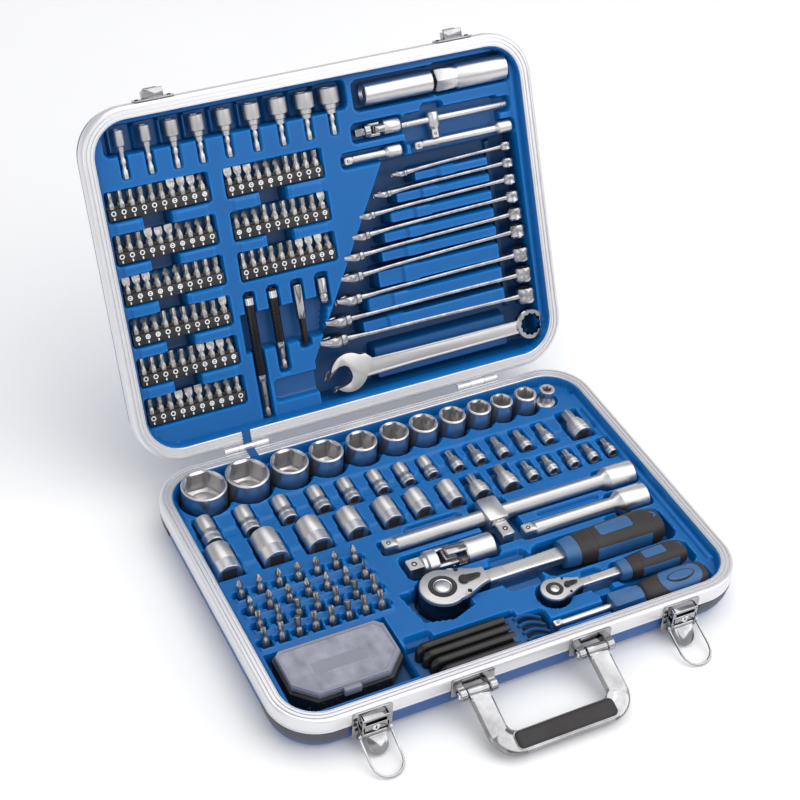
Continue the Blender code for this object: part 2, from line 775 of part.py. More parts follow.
def box_outline(inset=0.0):
    """The bit box's outline, with its two front corners cut off, drawn in by a distance."""
    left, right = BOX_LEFT + inset, BOX_RIGHT - inset
    back, front = BOX_BACK - inset, BOX_FRONT + inset
    corner = BOX_CUT - inset * (2 - math.sqrt(2))
    return (
        (left, back),
        (left, front + corner),
        (left + corner, front),
        (right - corner, front),
        (right, front + corner),
        (right, back),
    )


def bit_box():
    split, top, wall = BOX_SPLIT, BOX_TOP, BOX_WALL
    base = finish_mesh("bit_box_base", prism_bm(box_outline(), BOX_FLOOR, split), "black_plastic")
    cut(base, prism_bm(box_outline(wall), BOX_FLOOR + wall, split + 1))
    lid = finish_mesh("bit_box_lid", prism_bm(box_outline(BOX_LID_IN), split + GAP, top), "clear_lid")
    cut(lid, prism_bm(box_outline(wall + BOX_LID_IN), split - 1, top - wall))
    x0, x1 = BOX_TAB_X
    out = BOX_FRONT - BOX_TAB_OUT
    join(lid, box_bm(x0, x1, out, BOX_FRONT + 1, split + 1.5, top - 0.5))
    join(lid, box_bm(x0, x1, out, BOX_FRONT - BOX_LID_IN, split - 5, split + 2))


# ---------------------------------------------------------------- case hardware


def hinge(side, lid_objs):
    """Two leaves on the cases' backs; the base's outer knuckles hold the pin of the lid's middle one."""
    x = side * HINGE_X
    name = "hinge_%s" % side_word(side)
    y0, y1 = OUT_Y + GAP, OUT_Y + GAP + LEAF_T
    top = HALF_H - LEAF_DROP
    half, third = HINGE_LEN / 2, HINGE_LEN / 6
    web, web_z = 0.2, (top - 1.5, HINGE_Z - GAP)
    leaf = finish_mesh(name + "_base_leaf", box_bm(x - half, x + half, y0, y1, top - LEAF_H, top), "chrome")
    for a, b in ((-half, -third - GAP), (third + GAP, half)):
        join(leaf, round_bar(x + a, x + b, KNUCKLE_R, HINGE_Y, HINGE_Z, 12))
        join(leaf, box_bm(x + a + 2 * web, x + b - 2 * web, y0 + web, HINGE_Y - web, *web_z))
    join(leaf, round_bar(x - half + 1, x + half - 1, HINGE_PIN_R, HINGE_Y, HINGE_Z, 12))
    lid_leaf = box_bm(x - half, x + half, -y1, -y0, top - LEAF_H, top)
    lid_leaf = finish_mesh(name + "_lid_leaf", lid_leaf, "chrome")
    join(lid_leaf, round_bar(x - third, x + third, KNUCKLE_R, -HINGE_Y, HINGE_Z, 12))
    join(lid_leaf, box_bm(x - third + 2 * web, x + third - 2 * web, web - HINGE_Y, -y0 - web, *web_z))
    cut(lid_leaf, round_bar(x - third - 1, x + third + 1, HINGE_PIN_R + PIN_GAP, -HINGE_Y, HINGE_Z, 12))
    lid_objs.append(lid_leaf)


def latch_housing(name, x):
    face = -OUT_Y - GAP
    front = face - LATCH_BODY_T
    half, body_half = LATCH_W / 2, LATCH_BODY_W / 2
    z0, z1 = LATCH_BODY_Z
    plate = box_bm(x - half, x + half, face - LATCH_PLATE_T, face, 8, HALF_H - 0.8)
    body = finish_mesh(name + "_housing", plate, "chrome")
    join(body, box_bm(x - body_half, x + body_half, front, face - 1, z0, z1))
    for ear in (-1, 1):
        a, b = sorted((x + ear * LATCH_EAR_OUT, x + ear * LATCH_EAR_IN))
        join(body, box_bm(a, b, front, face - 1, *LATCH_EAR_Z))
        a, b = sorted((x + ear * (LATCH_EAR_OUT - 0.2), x + ear * (BAIL_HALF + BAIL_EYE_W / 2 + GAP)))
        join(body, round_bar(a, b, LATCH_PIN_R, LATCH_Y, LATCH_Z, 12))
    slot_half = LATCH_SLOT_W / 2
    cut(body, box_bm(x - slot_half, x + slot_half, front - 1, front + LATCH_SLOT_DEPTH, *LATCH_SLOT_Z))
    keyhole = ((0, -LATCH_BODY_T - 1), (KEYHOLE_R, -LATCH_BODY_T - 1), (KEYHOLE_R, -4), (0, -4))
    cut(body, shift(lathe_bm(keyhole, 14, "Y"), x, face, KEYHOLE_Z))
    reach = LATCH_EAR_OUT - 0.5
    cut(body, round_bar(x - reach, x + reach, LATCH_PIN_R + PIN_GAP, LATCH_Y, LATCH_Z, 12))


def latch_lever(name, x):
    half = LEVER_W / 2
    barrel = round_bar(x - half - 1, x + half + 1, LEVER_R, LATCH_Y, LATCH_Z, 14)
    lever = finish_mesh(name + "_lever", barrel, "chrome")
    pin = LATCH_EAR_OUT - 0.7
    join(lever, round_bar(x - pin, x + pin, LATCH_PIN_R, LATCH_Y, LATCH_Z, 12))
    root = LATCH_Y - LEVER_REACH
    nose = [(px, root + (py - root) * LEVER_ROUND / half) for px, py in arc(x, root, half, 180, 360, 8)]
    outline = [(x - half, LATCH_Y)] + nose + [(x + half, LATCH_Y)]
    paddle = prism_bm(outline, LATCH_Z - LEVER_T / 2, LATCH_Z + LEVER_T / 2)
    join(lever, turn(paddle, LEVER_DROOP, "X", (x, LATCH_Y, LATCH_Z)))


def wire_mesh(name, points, radius):
    """A curve along the points, with a round section and closed ends, as a mesh in metres."""
    curve = bpy.data.curves.new(name, "CURVE")
    curve.dimensions = "3D"
    curve.bevel_depth = radius * MM
    curve.bevel_resolution = 1
    curve.use_fill_caps = True
    spline = curve.splines.new("POLY")
    spline.points.add(len(points) - 1)
    for point, place in zip(spline.points, points):
        point.co = (*(value * MM for value in place), 1)
    holder = bpy.data.objects.new(name, curve)
    CUTTERS.objects.link(holder)
    graph = bpy.context.evaluated_depsgraph_get()
    mesh = bpy.data.meshes.new_from_object(holder.evaluated_get(graph))
    bpy.data.objects.remove(holder, do_unlink=True)
    return mesh


def latch_bail(name, x):
    """A wire loop: two eyes beside the ears, straight legs and a half-round end."""
    straight = BAIL_LEN - BAIL_HALF
    flat = [(-BAIL_HALF, 0)] + arc(0, -straight, BAIL_HALF, 180, 360, 8) + [(BAIL_HALF, 0)]
    bm = bmesh.new()
    bm.from_mesh(wire_mesh("bail_wire", [(px, py, 0) for px, py in flat], WIRE_R))
    bmesh.ops.scale(bm, vec=(1 / MM, 1 / MM, 1 / MM), verts=bm.verts)
    bmesh.ops.remove_doubles(bm, verts=bm.verts, dist=MM)
    turn(bm, BAIL_DROOP, "X")
    bail = finish_mesh(name + "_bail", shift(bm, x, LATCH_Y, LATCH_Z), "chrome")
    half = BAIL_EYE_W / 2
    for end in (-1, 1):
        middle = x + end * BAIL_HALF
        join(bail, round_bar(middle - half, middle + half, BAIL_EYE_R, LATCH_Y, LATCH_Z, 14))
    for end in (-1, 1):
        middle = x + end * BAIL_HALF
        hole = round_bar(middle - BAIL_EYE_W, middle + BAIL_EYE_W, LATCH_PIN_R + PIN_GAP, LATCH_Y, LATCH_Z, 12)
        cut(bail, hole)


def lid_catch(side, lid_objs):
    """The plate and hook on the lid's front edge that the wire bail goes over when the case is shut."""
    x = side * LATCH_X
    face = OUT_Y + GAP
    half, hook = CATCH_W / 2, HOOK_W / 2
    top = HALF_H - 0.6
    plate = box_bm(x - half, x + half, face, face + LATCH_PLATE_T, top - CATCH_H, top)
    body = finish_mesh("catch_%s" % side_word(side), plate, "chrome")
    arm = 2 * HINGE_Z - HOOK_Z
    tip = face + HOOK_REACH
    join(body, box_bm(x - hook, x + hook, face + 1, tip, arm, arm + HOOK_T))
    join(body, box_bm(x - hook, x + hook, tip - HOOK_LIP, tip, arm - HOOK_DROP, arm + HOOK_T))
    lid_objs.append(body)


def handle_bracket(side):
    x = side * HANDLE_X
    face = -OUT_Y - GAP
    half = HANDLE_PLATE_W / 2
    plate = box_bm(x - half, x + half, face - HANDLE_PLATE_T, face, *HANDLE_PLATE_Z)
    body = finish_mesh("handle_bracket_%s" % side_word(side), plate, "chrome")
    low, high = HANDLE_Z - HANDLE_EAR_R, HANDLE_Z + HANDLE_EAR_R
    for ear in (-1, 1):
        a, b = sorted((x + ear * HANDLE_EAR_IN, x + ear * HANDLE_EAR_OUT))
        join(body, round_bar(a, b, HANDLE_EAR_R, HANDLE_Y, HANDLE_Z))
        join(body, box_bm(a, b, HANDLE_Y, face - 1, low, high))
    pin = HANDLE_EAR_IN + 2
    join(body, round_bar(x - pin, x + pin, HANDLE_PIN_R, HANDLE_Y, HANDLE_Z, 12))


def bow_outline():
    """The handle seen from above, hanging from its pivots at y 0."""
    outer, inner = HANDLE_HALF_W, HANDLE_HALF_W - STRAP_W - 0.5
    low, high = BOW_OUTER_R - HANDLE_REACH, BOW_INNER_R + HANDLE_BAR - HANDLE_REACH
    root = -1.1
    outline = [(-outer, root)]
    outline += arc(BOW_OUTER_R - outer, low, BOW_OUTER_R, 180, 270, 6)
    outline += arc(outer - BOW_OUTER_R, low, BOW_OUTER_R, 270, 360, 6)
    outline += [(outer, root), (inner, root)]
    outline += arc(inner - BOW_INNER_R, high, BOW_INNER_R, 0, -90, 4)
    outline += arc(BOW_INNER_R - inner, high, BOW_INNER_R, 270, 180, 4)
    return outline + [(-inner, root)]


def hang(bm):
    """Turns a piece of the handle down to its resting droop and moves it to the pivots."""
    return shift(turn(bm, HANDLE_DROOP, "X"), 0, HANDLE_Y, HANDLE_Z)


def handle_bow():
    half_t = STRAP_T / 2
    bow = finish_mesh("handle_bow", hang(prism_bm(bow_outline(), -half_t, half_t)), "chrome")
    middle = HANDLE_HALF_W - STRAP_W / 2 - 0.25
    for side in (-1, 1):
        x = side * middle
        join(bow, round_bar(x - STRAP_W / 2, x + STRAP_W / 2, BOW_EYE_R, HANDLE_Y, HANDLE_Z))
    for side in (-1, 1):
        x = side * middle
        cut(bow, round_bar(x - STRAP_W, x + STRAP_W, HANDLE_PIN_R + PIN_GAP, HANDLE_Y, HANDLE_Z, 12))
    x, y0, y1 = PAD_HALF_W, PAD_EDGE - HANDLE_REACH, HANDLE_BAR - PAD_LIP - HANDLE_REACH
    cut(bow, hang(box_bm(-x - GAP, x + GAP, y0 - GAP, y1 + GAP, PAD_FLOOR, STRAP_T)))
    pad = box_bm(-x, x, y0, y1, PAD_FLOOR + GAP, half_t + PAD_RISE)
    finish_mesh("handle_pad", hang(pad), "black_plastic")


def corner_guard(sx, sy):
    """A skin over one corner of the base, below the rim's band."""
    floor = -GUARD_T - GAP
    bm = prism_bm(inset_rect(BAND_T - GUARD_T), floor, HALF_H - BAND_H - GAP)
    bevel_low_edges(bm, floor, SHELL_EDGE_R + GUARD_T + GAP)
    guard = finish_mesh("guard_%s_%s" % (side_word(sx), "front" if sy < 0 else "back"), bm, "guard_grey")
    inner = prism_bm(inset_rect(BAND_T), -GAP, HALF_H)
    cut(guard, bevel_low_edges(inner, -GAP, SHELL_EDGE_R + GAP))
    x = sorted((sx * (CASE_W / 2 - GUARD_REACH), sx * CASE_W))
    y = sorted((sy * (CASE_D / 2 - GUARD_REACH), sy * CASE_D))
    keep = finish_mesh("guard_keep", box_bm(*x, *y, GUARD_FOOT, 2 * HALF_H))
    boolean(guard, keep, "INTERSECT")


# ---------------------------------------------------------------- lid tools


def flat_wrench(lid_objs):
    """The largest combination wrench: ring on the right, open jaw on the left."""
    y = WRENCH_Y
    z0, z1 = WRENCH_Z
    ring_x, jaw_x, step = WRENCH_RING_X, WRENCH_JAW_X, WRENCH_STEP
    ring = prism_bm(circle(ring_x, y, WRENCH_RING_R, 28), z0, z1)
    body = finish_mesh("wrench_large", ring, "satin_steel")
    join(body, prism_bm(circle(jaw_x, y, WRENCH_JAW_R, 24), z0 + step, z1 - step))
    wide, thin = (width / 2 for width in WRENCH_SHANK)
    end = ring_x - WRENCH_RING_HOLE + 1
    shank = [(jaw_x, y - wide), (end, y - thin), (end, y + thin), (jaw_x, y + wide)]
    join(body, prism_bm(shank, z0 + 2 * step, z1 - 2 * step))
    cut(body, prism_bm(circle(ring_x, y, WRENCH_RING_HOLE, 12), z0 - 1, z1 + 1))
    half = WRENCH_JAW_GAP / 2
    jaw = box_bm(jaw_x - 2 * WRENCH_JAW_R, jaw_x + 3, y - half, y + half, z0 - 1, z1 + 1)
    cut(body, turn(jaw, WRENCH_JAW_TILT, "Z", (jaw_x, y, 0)))
    lid_objs.append(body)


def small_t_bar(lid_objs):
    head = T_BAR_HEAD
    rod = round_bar(*T_BAR_X, head.bar_r, head.bar_y, head.bar_z)
    lid_objs.append(finish_mesh("t_bar_rod", rod, "chrome"))
    lid_objs.append(sliding_head(head))


# ---------------------------------------------------------------- assembly


def turn_with_lid(objs):
    """Lays the lid's parts, drawn flat and tray up, against the hinge at the open angle."""
    flat = Matrix.Translation(Vector((0, HINGE_Y, -HINGE_Z)) * MM)
    open_turn = Matrix.Rotation(math.radians(180 - LID_OPEN), 4, "X")
    place = Matrix.Translation(Vector((0, HINGE_Y, HINGE_Z)) * MM) @ open_turn @ flat
    for obj in objs:
        apply_modifiers(obj)
    for obj in objs:
        obj.data.transform(place)


def build():
    case_shell("base_shell")
    case_frame("base_frame", False)
    tray("base_tray", base_pockets())
    lid_objs = [case_shell("lid_shell"), case_frame("lid_frame", True), tray("lid_tray", lid_pockets())]
    for side in (-1, 1):
        hinge(side, lid_objs)
        name, x = "latch_%s" % side_word(side), side * LATCH_X
        latch_housing(name, x)
        latch_lever(name, x)
        latch_bail(name, x)
        lid_catch(side, lid_objs)
        handle_bracket(side)
        for end in (-1, 1):
            corner_guard(side, end)
    handle_bow()
    for index, (x, radius, across) in enumerate(SOCKETS, 1):
        socket(index, x, radius, across)
    ratchet(LARGE_RATCHET)
    ratchet(SMALL_RATCHET)
    universal_joint()
    extension(LONG_EXTENSION)
    sliding_head(T_HEAD)
    extension(SHORT_EXTENSION)
    spinner_handle()
    bit_box()
    flat_wrench(lid_objs)
    small_t_bar(lid_objs)
    turn_with_lid(lid_objs)


build()
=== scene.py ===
"""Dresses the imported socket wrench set: case, trays, every loose tool, finishes, light and camera."""

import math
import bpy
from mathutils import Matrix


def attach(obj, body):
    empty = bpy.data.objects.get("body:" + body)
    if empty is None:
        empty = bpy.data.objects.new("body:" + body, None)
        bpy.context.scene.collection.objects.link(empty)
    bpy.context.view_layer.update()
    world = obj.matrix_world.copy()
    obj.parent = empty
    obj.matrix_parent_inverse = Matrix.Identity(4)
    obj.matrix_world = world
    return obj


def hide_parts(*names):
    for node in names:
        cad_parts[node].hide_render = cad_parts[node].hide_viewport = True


bl_info = {
    "name": "Socket wrench set", "version": (1, 0, 0), "blender": (4, 5, 0),
    "location": "3D View > Sidebar > Tool set",
    "description": "Builds the finished look of an open socket wrench case around its CAD frame",
    "category": "Object"
}

import bmesh
import bpy
import numpy as np
from bpy.props import FloatProperty, FloatVectorProperty, PointerProperty
from mathutils import Matrix, Vector

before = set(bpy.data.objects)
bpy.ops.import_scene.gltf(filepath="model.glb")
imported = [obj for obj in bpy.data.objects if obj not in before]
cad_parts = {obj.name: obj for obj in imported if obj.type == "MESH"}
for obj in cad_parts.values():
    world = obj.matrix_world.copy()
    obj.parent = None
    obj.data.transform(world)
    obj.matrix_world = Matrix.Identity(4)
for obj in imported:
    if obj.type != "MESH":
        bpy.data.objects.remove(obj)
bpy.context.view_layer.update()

MM = 0.001
CASE_W, CASE_D, HALF_H = 431.0, 317.0, 38.0
CORNER_R = 43.0
BAND_H = 14.2
TRAY_Z, TRAY_INSET = 28.0, 11.65
# Depths below the tray top where faces take the painted recess shade and the deeper painted shade.
RECESS_SHADE_DROP, DEEP_SHADE_DROP = 5, 13
LIP_DROP, LIP_WIDTH, LIP_SLOPE = 0.9, 2.6, 1.8
JOINT_AT = -116.0
OUT_Y = CASE_D / 2
HINGE_Y, HINGE_Z = 161.4, 38.4
LID_TURN = 65.0
CORNER_STEPS = 14
SHARP = math.radians(38)
HALVES = ("base", "lid")
LID_BODIES = ("lid", "large_wrench", "t_bar", "t_bar_slider")
SIDES = (("left", -1), ("right", 1))
LATCH_X, LATCH_PIVOT_Y, LATCH_PIVOT_Z = 143.0, -164.5, 15.0
HANDLE_X, HANDLE_PIVOT_Y, HANDLE_PIVOT_Z = 54.5, -168.0, 27.0

LID = (
    Matrix.Translation((0, HINGE_Y, HINGE_Z))
    @ Matrix.Rotation(math.radians(LID_TURN), 4, "X")
    @ Matrix.Translation((0, HINGE_Y, -HINGE_Z))
)


# ---------------------------------------------------------------- settings


def length(name, description, default):
    return FloatProperty(name=name, description=description, default=default, unit="LENGTH", subtype="DISTANCE")


def colour(name, description, default):
    return FloatVectorProperty(
        name=name, description=description, default=default, size=3, min=0, max=1, subtype="COLOR"
    )


class ToolSetFinish(bpy.types.PropertyGroup):
    tray: colour("Tray blue", "Moulded trays in both halves", (0.000, 0.115, 0.375))
    shell: colour("Shell blue", "Outer shells of the case", (0.03, 0.10, 0.30))
    grip: colour("Grip blue", "Blue parts of the tool handles", (0.026, 0.112, 0.275))
    rim: colour("Rim silver", "Aluminium rims of both halves", (0.80, 0.80, 0.82))
    steel: colour("Satin steel", "Satin chrome on sockets and bars", (0.62, 0.61, 0.61))
    bit: colour("Bit steel", "Screwdriver bits", (0.30, 0.29, 0.28))
    lid: colour("Box cover", "Frosted cover of the bit box", (0.36, 0.37, 0.45))


class ToolSetSizes(bpy.types.PropertyGroup):
    pitch: length("Tray pitch", "Spacing of the points that the trays are shaped with", 0.0013)
    wall: length("Tray wall", "Width of the slope round a tray pocket", 0.0016)
    floor_size: length("Floor size", "Side of the floor that the case stands on", 6.0)


def finish_of(context):
    return context.scene.tool_set_finish


# ---------------------------------------------------------------- materials


def node(tree, kind, **inputs):
    made = tree.nodes.new(kind)
    for name, value in inputs.items():
        made.inputs[name.replace("_", " ")].default_value = value
    return made


# The frame brings plain materials with some of the same names.
FINISH = "_finish"


def surface(
    name, dark, light, rough=(0.3, 0.4), metallic=0.0, grain=600.0, bump=0.1, patches=25.0, stretch=(1, 1, 1),
    edge=None, **sockets
):
    """A finish whose colour, roughness and fine bump come from noise in object space; edge gives convex edges a
    lighter colour, a painted highlight.
    """
    made = bpy.data.materials.get(name + FINISH)
    if made:
        return made
    made = bpy.data.materials.new(name + FINISH)
    made.use_nodes = True
    tree = made.node_tree
    shader = tree.nodes["Principled BSDF"]
    shader.inputs["Metallic"].default_value = metallic
    for socket, value in sockets.items():
        shader.inputs[socket.replace("_", " ")].default_value = value
    place = node(tree, "ShaderNodeTexCoord")
    turn = node(tree, "ShaderNodeMapping", Scale=stretch)
    tree.links.new(place.outputs["Object"], turn.inputs["Vector"])
    broad = node(tree, "ShaderNodeTexNoise", Scale=patches, Detail=6.0, Roughness=0.6)
    fine = node(tree, "ShaderNodeTexNoise", Scale=grain, Detail=3.0, Roughness=0.6)
    for noise in (broad, fine):
        tree.links.new(turn.outputs["Vector"], noise.inputs["Vector"])
    ramp = tree.nodes.new("ShaderNodeValToRGB")
    ramp.color_ramp.elements[0].position = 0.3
    ramp.color_ramp.elements[1].position = 0.7
    ramp.color_ramp.elements[0].color = (*dark, 1)
    ramp.color_ramp.elements[1].color = (*light, 1)
    tree.links.new(broad.outputs["Fac"], ramp.inputs["Fac"])
    paint = ramp.outputs["Color"]
    # Painted highlight: convex edges, found by pointiness, take the lighter edge colour.
    if edge:
        highlight_geometry = tree.nodes.new("ShaderNodeNewGeometry")
        reach = node(tree, "ShaderNodeMapRange", From_Min=edge[1], From_Max=edge[2])
        tree.links.new(highlight_geometry.outputs["Pointiness"], reach.inputs["Value"])
        mix = tree.nodes.new("ShaderNodeMix")
        mix.data_type = "RGBA"
        mix.inputs[7].default_value = (*edge[0], 1)
        tree.links.new(reach.outputs["Result"], mix.inputs["Factor"])
        tree.links.new(paint, mix.inputs[6])
        paint = mix.outputs[2]
    tree.links.new(paint, shader.inputs["Base Color"])
    spread = node(tree, "ShaderNodeMapRange", To_Min=rough[0], To_Max=rough[1])
    tree.links.new(fine.outputs["Fac"], spread.inputs["Value"])
    tree.links.new(spread.outputs["Result"], shader.inputs["Roughness"])
    if bump:
        relief = node(tree, "ShaderNodeBump", Strength=bump, Distance=0.0002)
        tree.links.new(fine.outputs["Fac"], relief.inputs["Height"])
        tree.links.new(relief.outputs["Normal"], shader.inputs["Normal"])
    return made


def shade(colour_, by):
    return tuple(min(1.0, part * by) for part in colour_)


def build_finishes(finish):
    tray, shell, grip = finish.tray[:], finish.shell[:], finish.grip[:]
    rim, steel, bit = finish.rim[:], finish.steel[:], finish.bit[:]
    # The lighter edge colour of the tray is a painted highlight on its convex edges.
    surface(
        "tray_plastic", shade(tray, 0.92), shade(tray, 1.08), (0.34, 0.46), grain=900, bump=0.12, patches=9,
        edge=(shade(tray, 1.55), 0.505, 0.56), Specular_IOR_Level=0.35
    )
    # Darker copies of the tray blue: painted shade for recesses and deep pockets.
    for name, by in (("tray_recess_shade", 0.70), ("tray_deep_shade", 0.46)):
        surface(
            name, shade(tray, 0.9 * by), shade(tray, 1.1 * by), (0.4, 0.52), grain=900, bump=0.12, patches=9
        )
    surface("shell_plastic", shade(shell, 0.9), shade(shell, 1.1), (0.38, 0.5), grain=700, bump=0.3, patches=14)
    surface(
        "rim_aluminium", shade(rim, 0.93), rim, (0.26, 0.38), metallic=0.72, grain=420, bump=0.04, patches=18,
        stretch=(0.25, 0.25, 3)
    )
    surface(
        "chrome", (0.25, 0.25, 0.255), (0.48, 0.48, 0.49), (0.06, 0.14), metallic=1, grain=300, bump=0.015,
        patches=38
    )
    surface(
        "satin_chrome", shade(steel, 0.94), shade(steel, 1.06), (0.27, 0.4), metallic=1, grain=1500, bump=0.08
    )
    surface(
        "satin_grey", shade(steel, 0.78), shade(steel, 0.98), (0.34, 0.46), metallic=1, grain=1800, bump=0.1
    )
    # Near-black metal for the side band of a ratchet head: painted shade.
    surface(
        "ratchet_side_shade", (0.07, 0.075, 0.10), (0.13, 0.135, 0.16), (0.25, 0.38), metallic=1, grain=1200,
        bump=0.08
    )
    surface(
        "wrench_chrome", (0.27, 0.27, 0.29), (0.56, 0.56, 0.58), (0.15, 0.24), metallic=1, grain=900, bump=0.03,
        patches=120
    )
    surface(
        "bright_satin", (0.72, 0.71, 0.70), (0.84, 0.83, 0.82), (0.28, 0.36), metallic=1, grain=2200, bump=0.3
    )
    surface(
        "bright_band", (0.74, 0.74, 0.75), (0.84, 0.84, 0.85), (0.1, 0.18), metallic=1, grain=900, bump=0.02
    )
    surface(
        "bit_steel", shade(bit, 0.5), shade(bit, 1.7), (0.22, 0.4), metallic=0.95, grain=900, bump=0.12,
        patches=330
    )
    surface(
        "black_oxide", (0.008, 0.007, 0.007), (0.018, 0.016, 0.016), (0.2, 0.32), metallic=0.2, grain=900,
        bump=0.1
    )
    surface("black_plastic", (0.010, 0.010, 0.011), (0.020, 0.020, 0.022), (0.35, 0.5), grain=1200, bump=0.2)
    surface("black_rubber", (0.014, 0.011, 0.012), (0.026, 0.022, 0.022), (0.5, 0.65), grain=1600, bump=0.5)
    surface("grip_blue", shade(grip, 0.88), shade(grip, 1.14), (0.32, 0.44), grain=900, bump=0.14)
    surface("key_blue", shade(tray, 0.42), shade(tray, 0.6), (0.35, 0.5), grain=1000, bump=0.2)
    surface("guard_grey", (0.055, 0.058, 0.075), (0.075, 0.078, 0.098), (0.42, 0.55), grain=1000, bump=0.4)
    surface("label_white", (0.75, 0.75, 0.75), (0.88, 0.88, 0.88), (0.45, 0.55), grain=900, bump=0.05)
    # Near-black for holes, slots and gaps: painted shade.
    surface("painted_slot_shade", (0.012, 0.013, 0.016), (0.02, 0.021, 0.026), (0.6, 0.8), grain=900, bump=0.1)
    surface(
        "frosted_cover", shade(finish.lid[:], 0.9), shade(finish.lid[:], 1.1), (0.34, 0.46), grain=1100,
        bump=0.15, Transmission_Weight=0.35, IOR=1.45
    )


def cover_window(finish):
    """The frosted window of the bit box: dark shapes of the bits show through it."""
    surface(
        "cover_window", shade(finish.lid[:], 0.5), shade(finish.lid[:], 0.95), (0.3, 0.42), grain=1100,
        bump=0.15, patches=75, stretch=(1, 0.6, 1)
    )


def material(name):
    return bpy.data.materials[name + FINISH]


# ---------------------------------------------------------------- modelling, in millimetres


def aim(axis="Z", at=(0, 0, 0), roll=0.0):
    """Turns a shape drawn along +Z to the named axis and moves it."""
    spins = {
        "Z": Matrix.Identity(4), "-Z": Matrix.Rotation(math.pi, 4, "X"),
        "X": Matrix.Rotation(math.pi / 2, 4, "Y"), "-X": Matrix.Rotation(-math.pi / 2, 4, "Y"),
        "Y": Matrix.Rotation(-math.pi / 2, 4, "X"), "-Y": Matrix.Rotation(math.pi / 2, 4, "X")
    }
    return Matrix.Translation(at) @ spins[axis] @ Matrix.Rotation(math.radians(roll), 4, "Z")


def polar(form, angle):
    """How far a cross-section reaches at an angle, as a share of its largest radius."""
    if form == "hex":
        return math.cos(math.pi / 6) / math.cos(angle % (math.pi / 3) - math.pi / 6)
    if form == "square":
        return max(0.0, math.cos(math.pi / 4) / math.cos(angle % (math.pi / 2) - math.pi / 4))
    if form == "star":
        return 0.87 + 0.13 * math.cos(6 * angle)
    if form == "cross":
        return 0.62 + 0.38 * abs(math.cos(2 * angle)) ** 2
    if form == "points":
        return 0.94 + 0.06 * math.cos(12 * angle)
    return 1.0


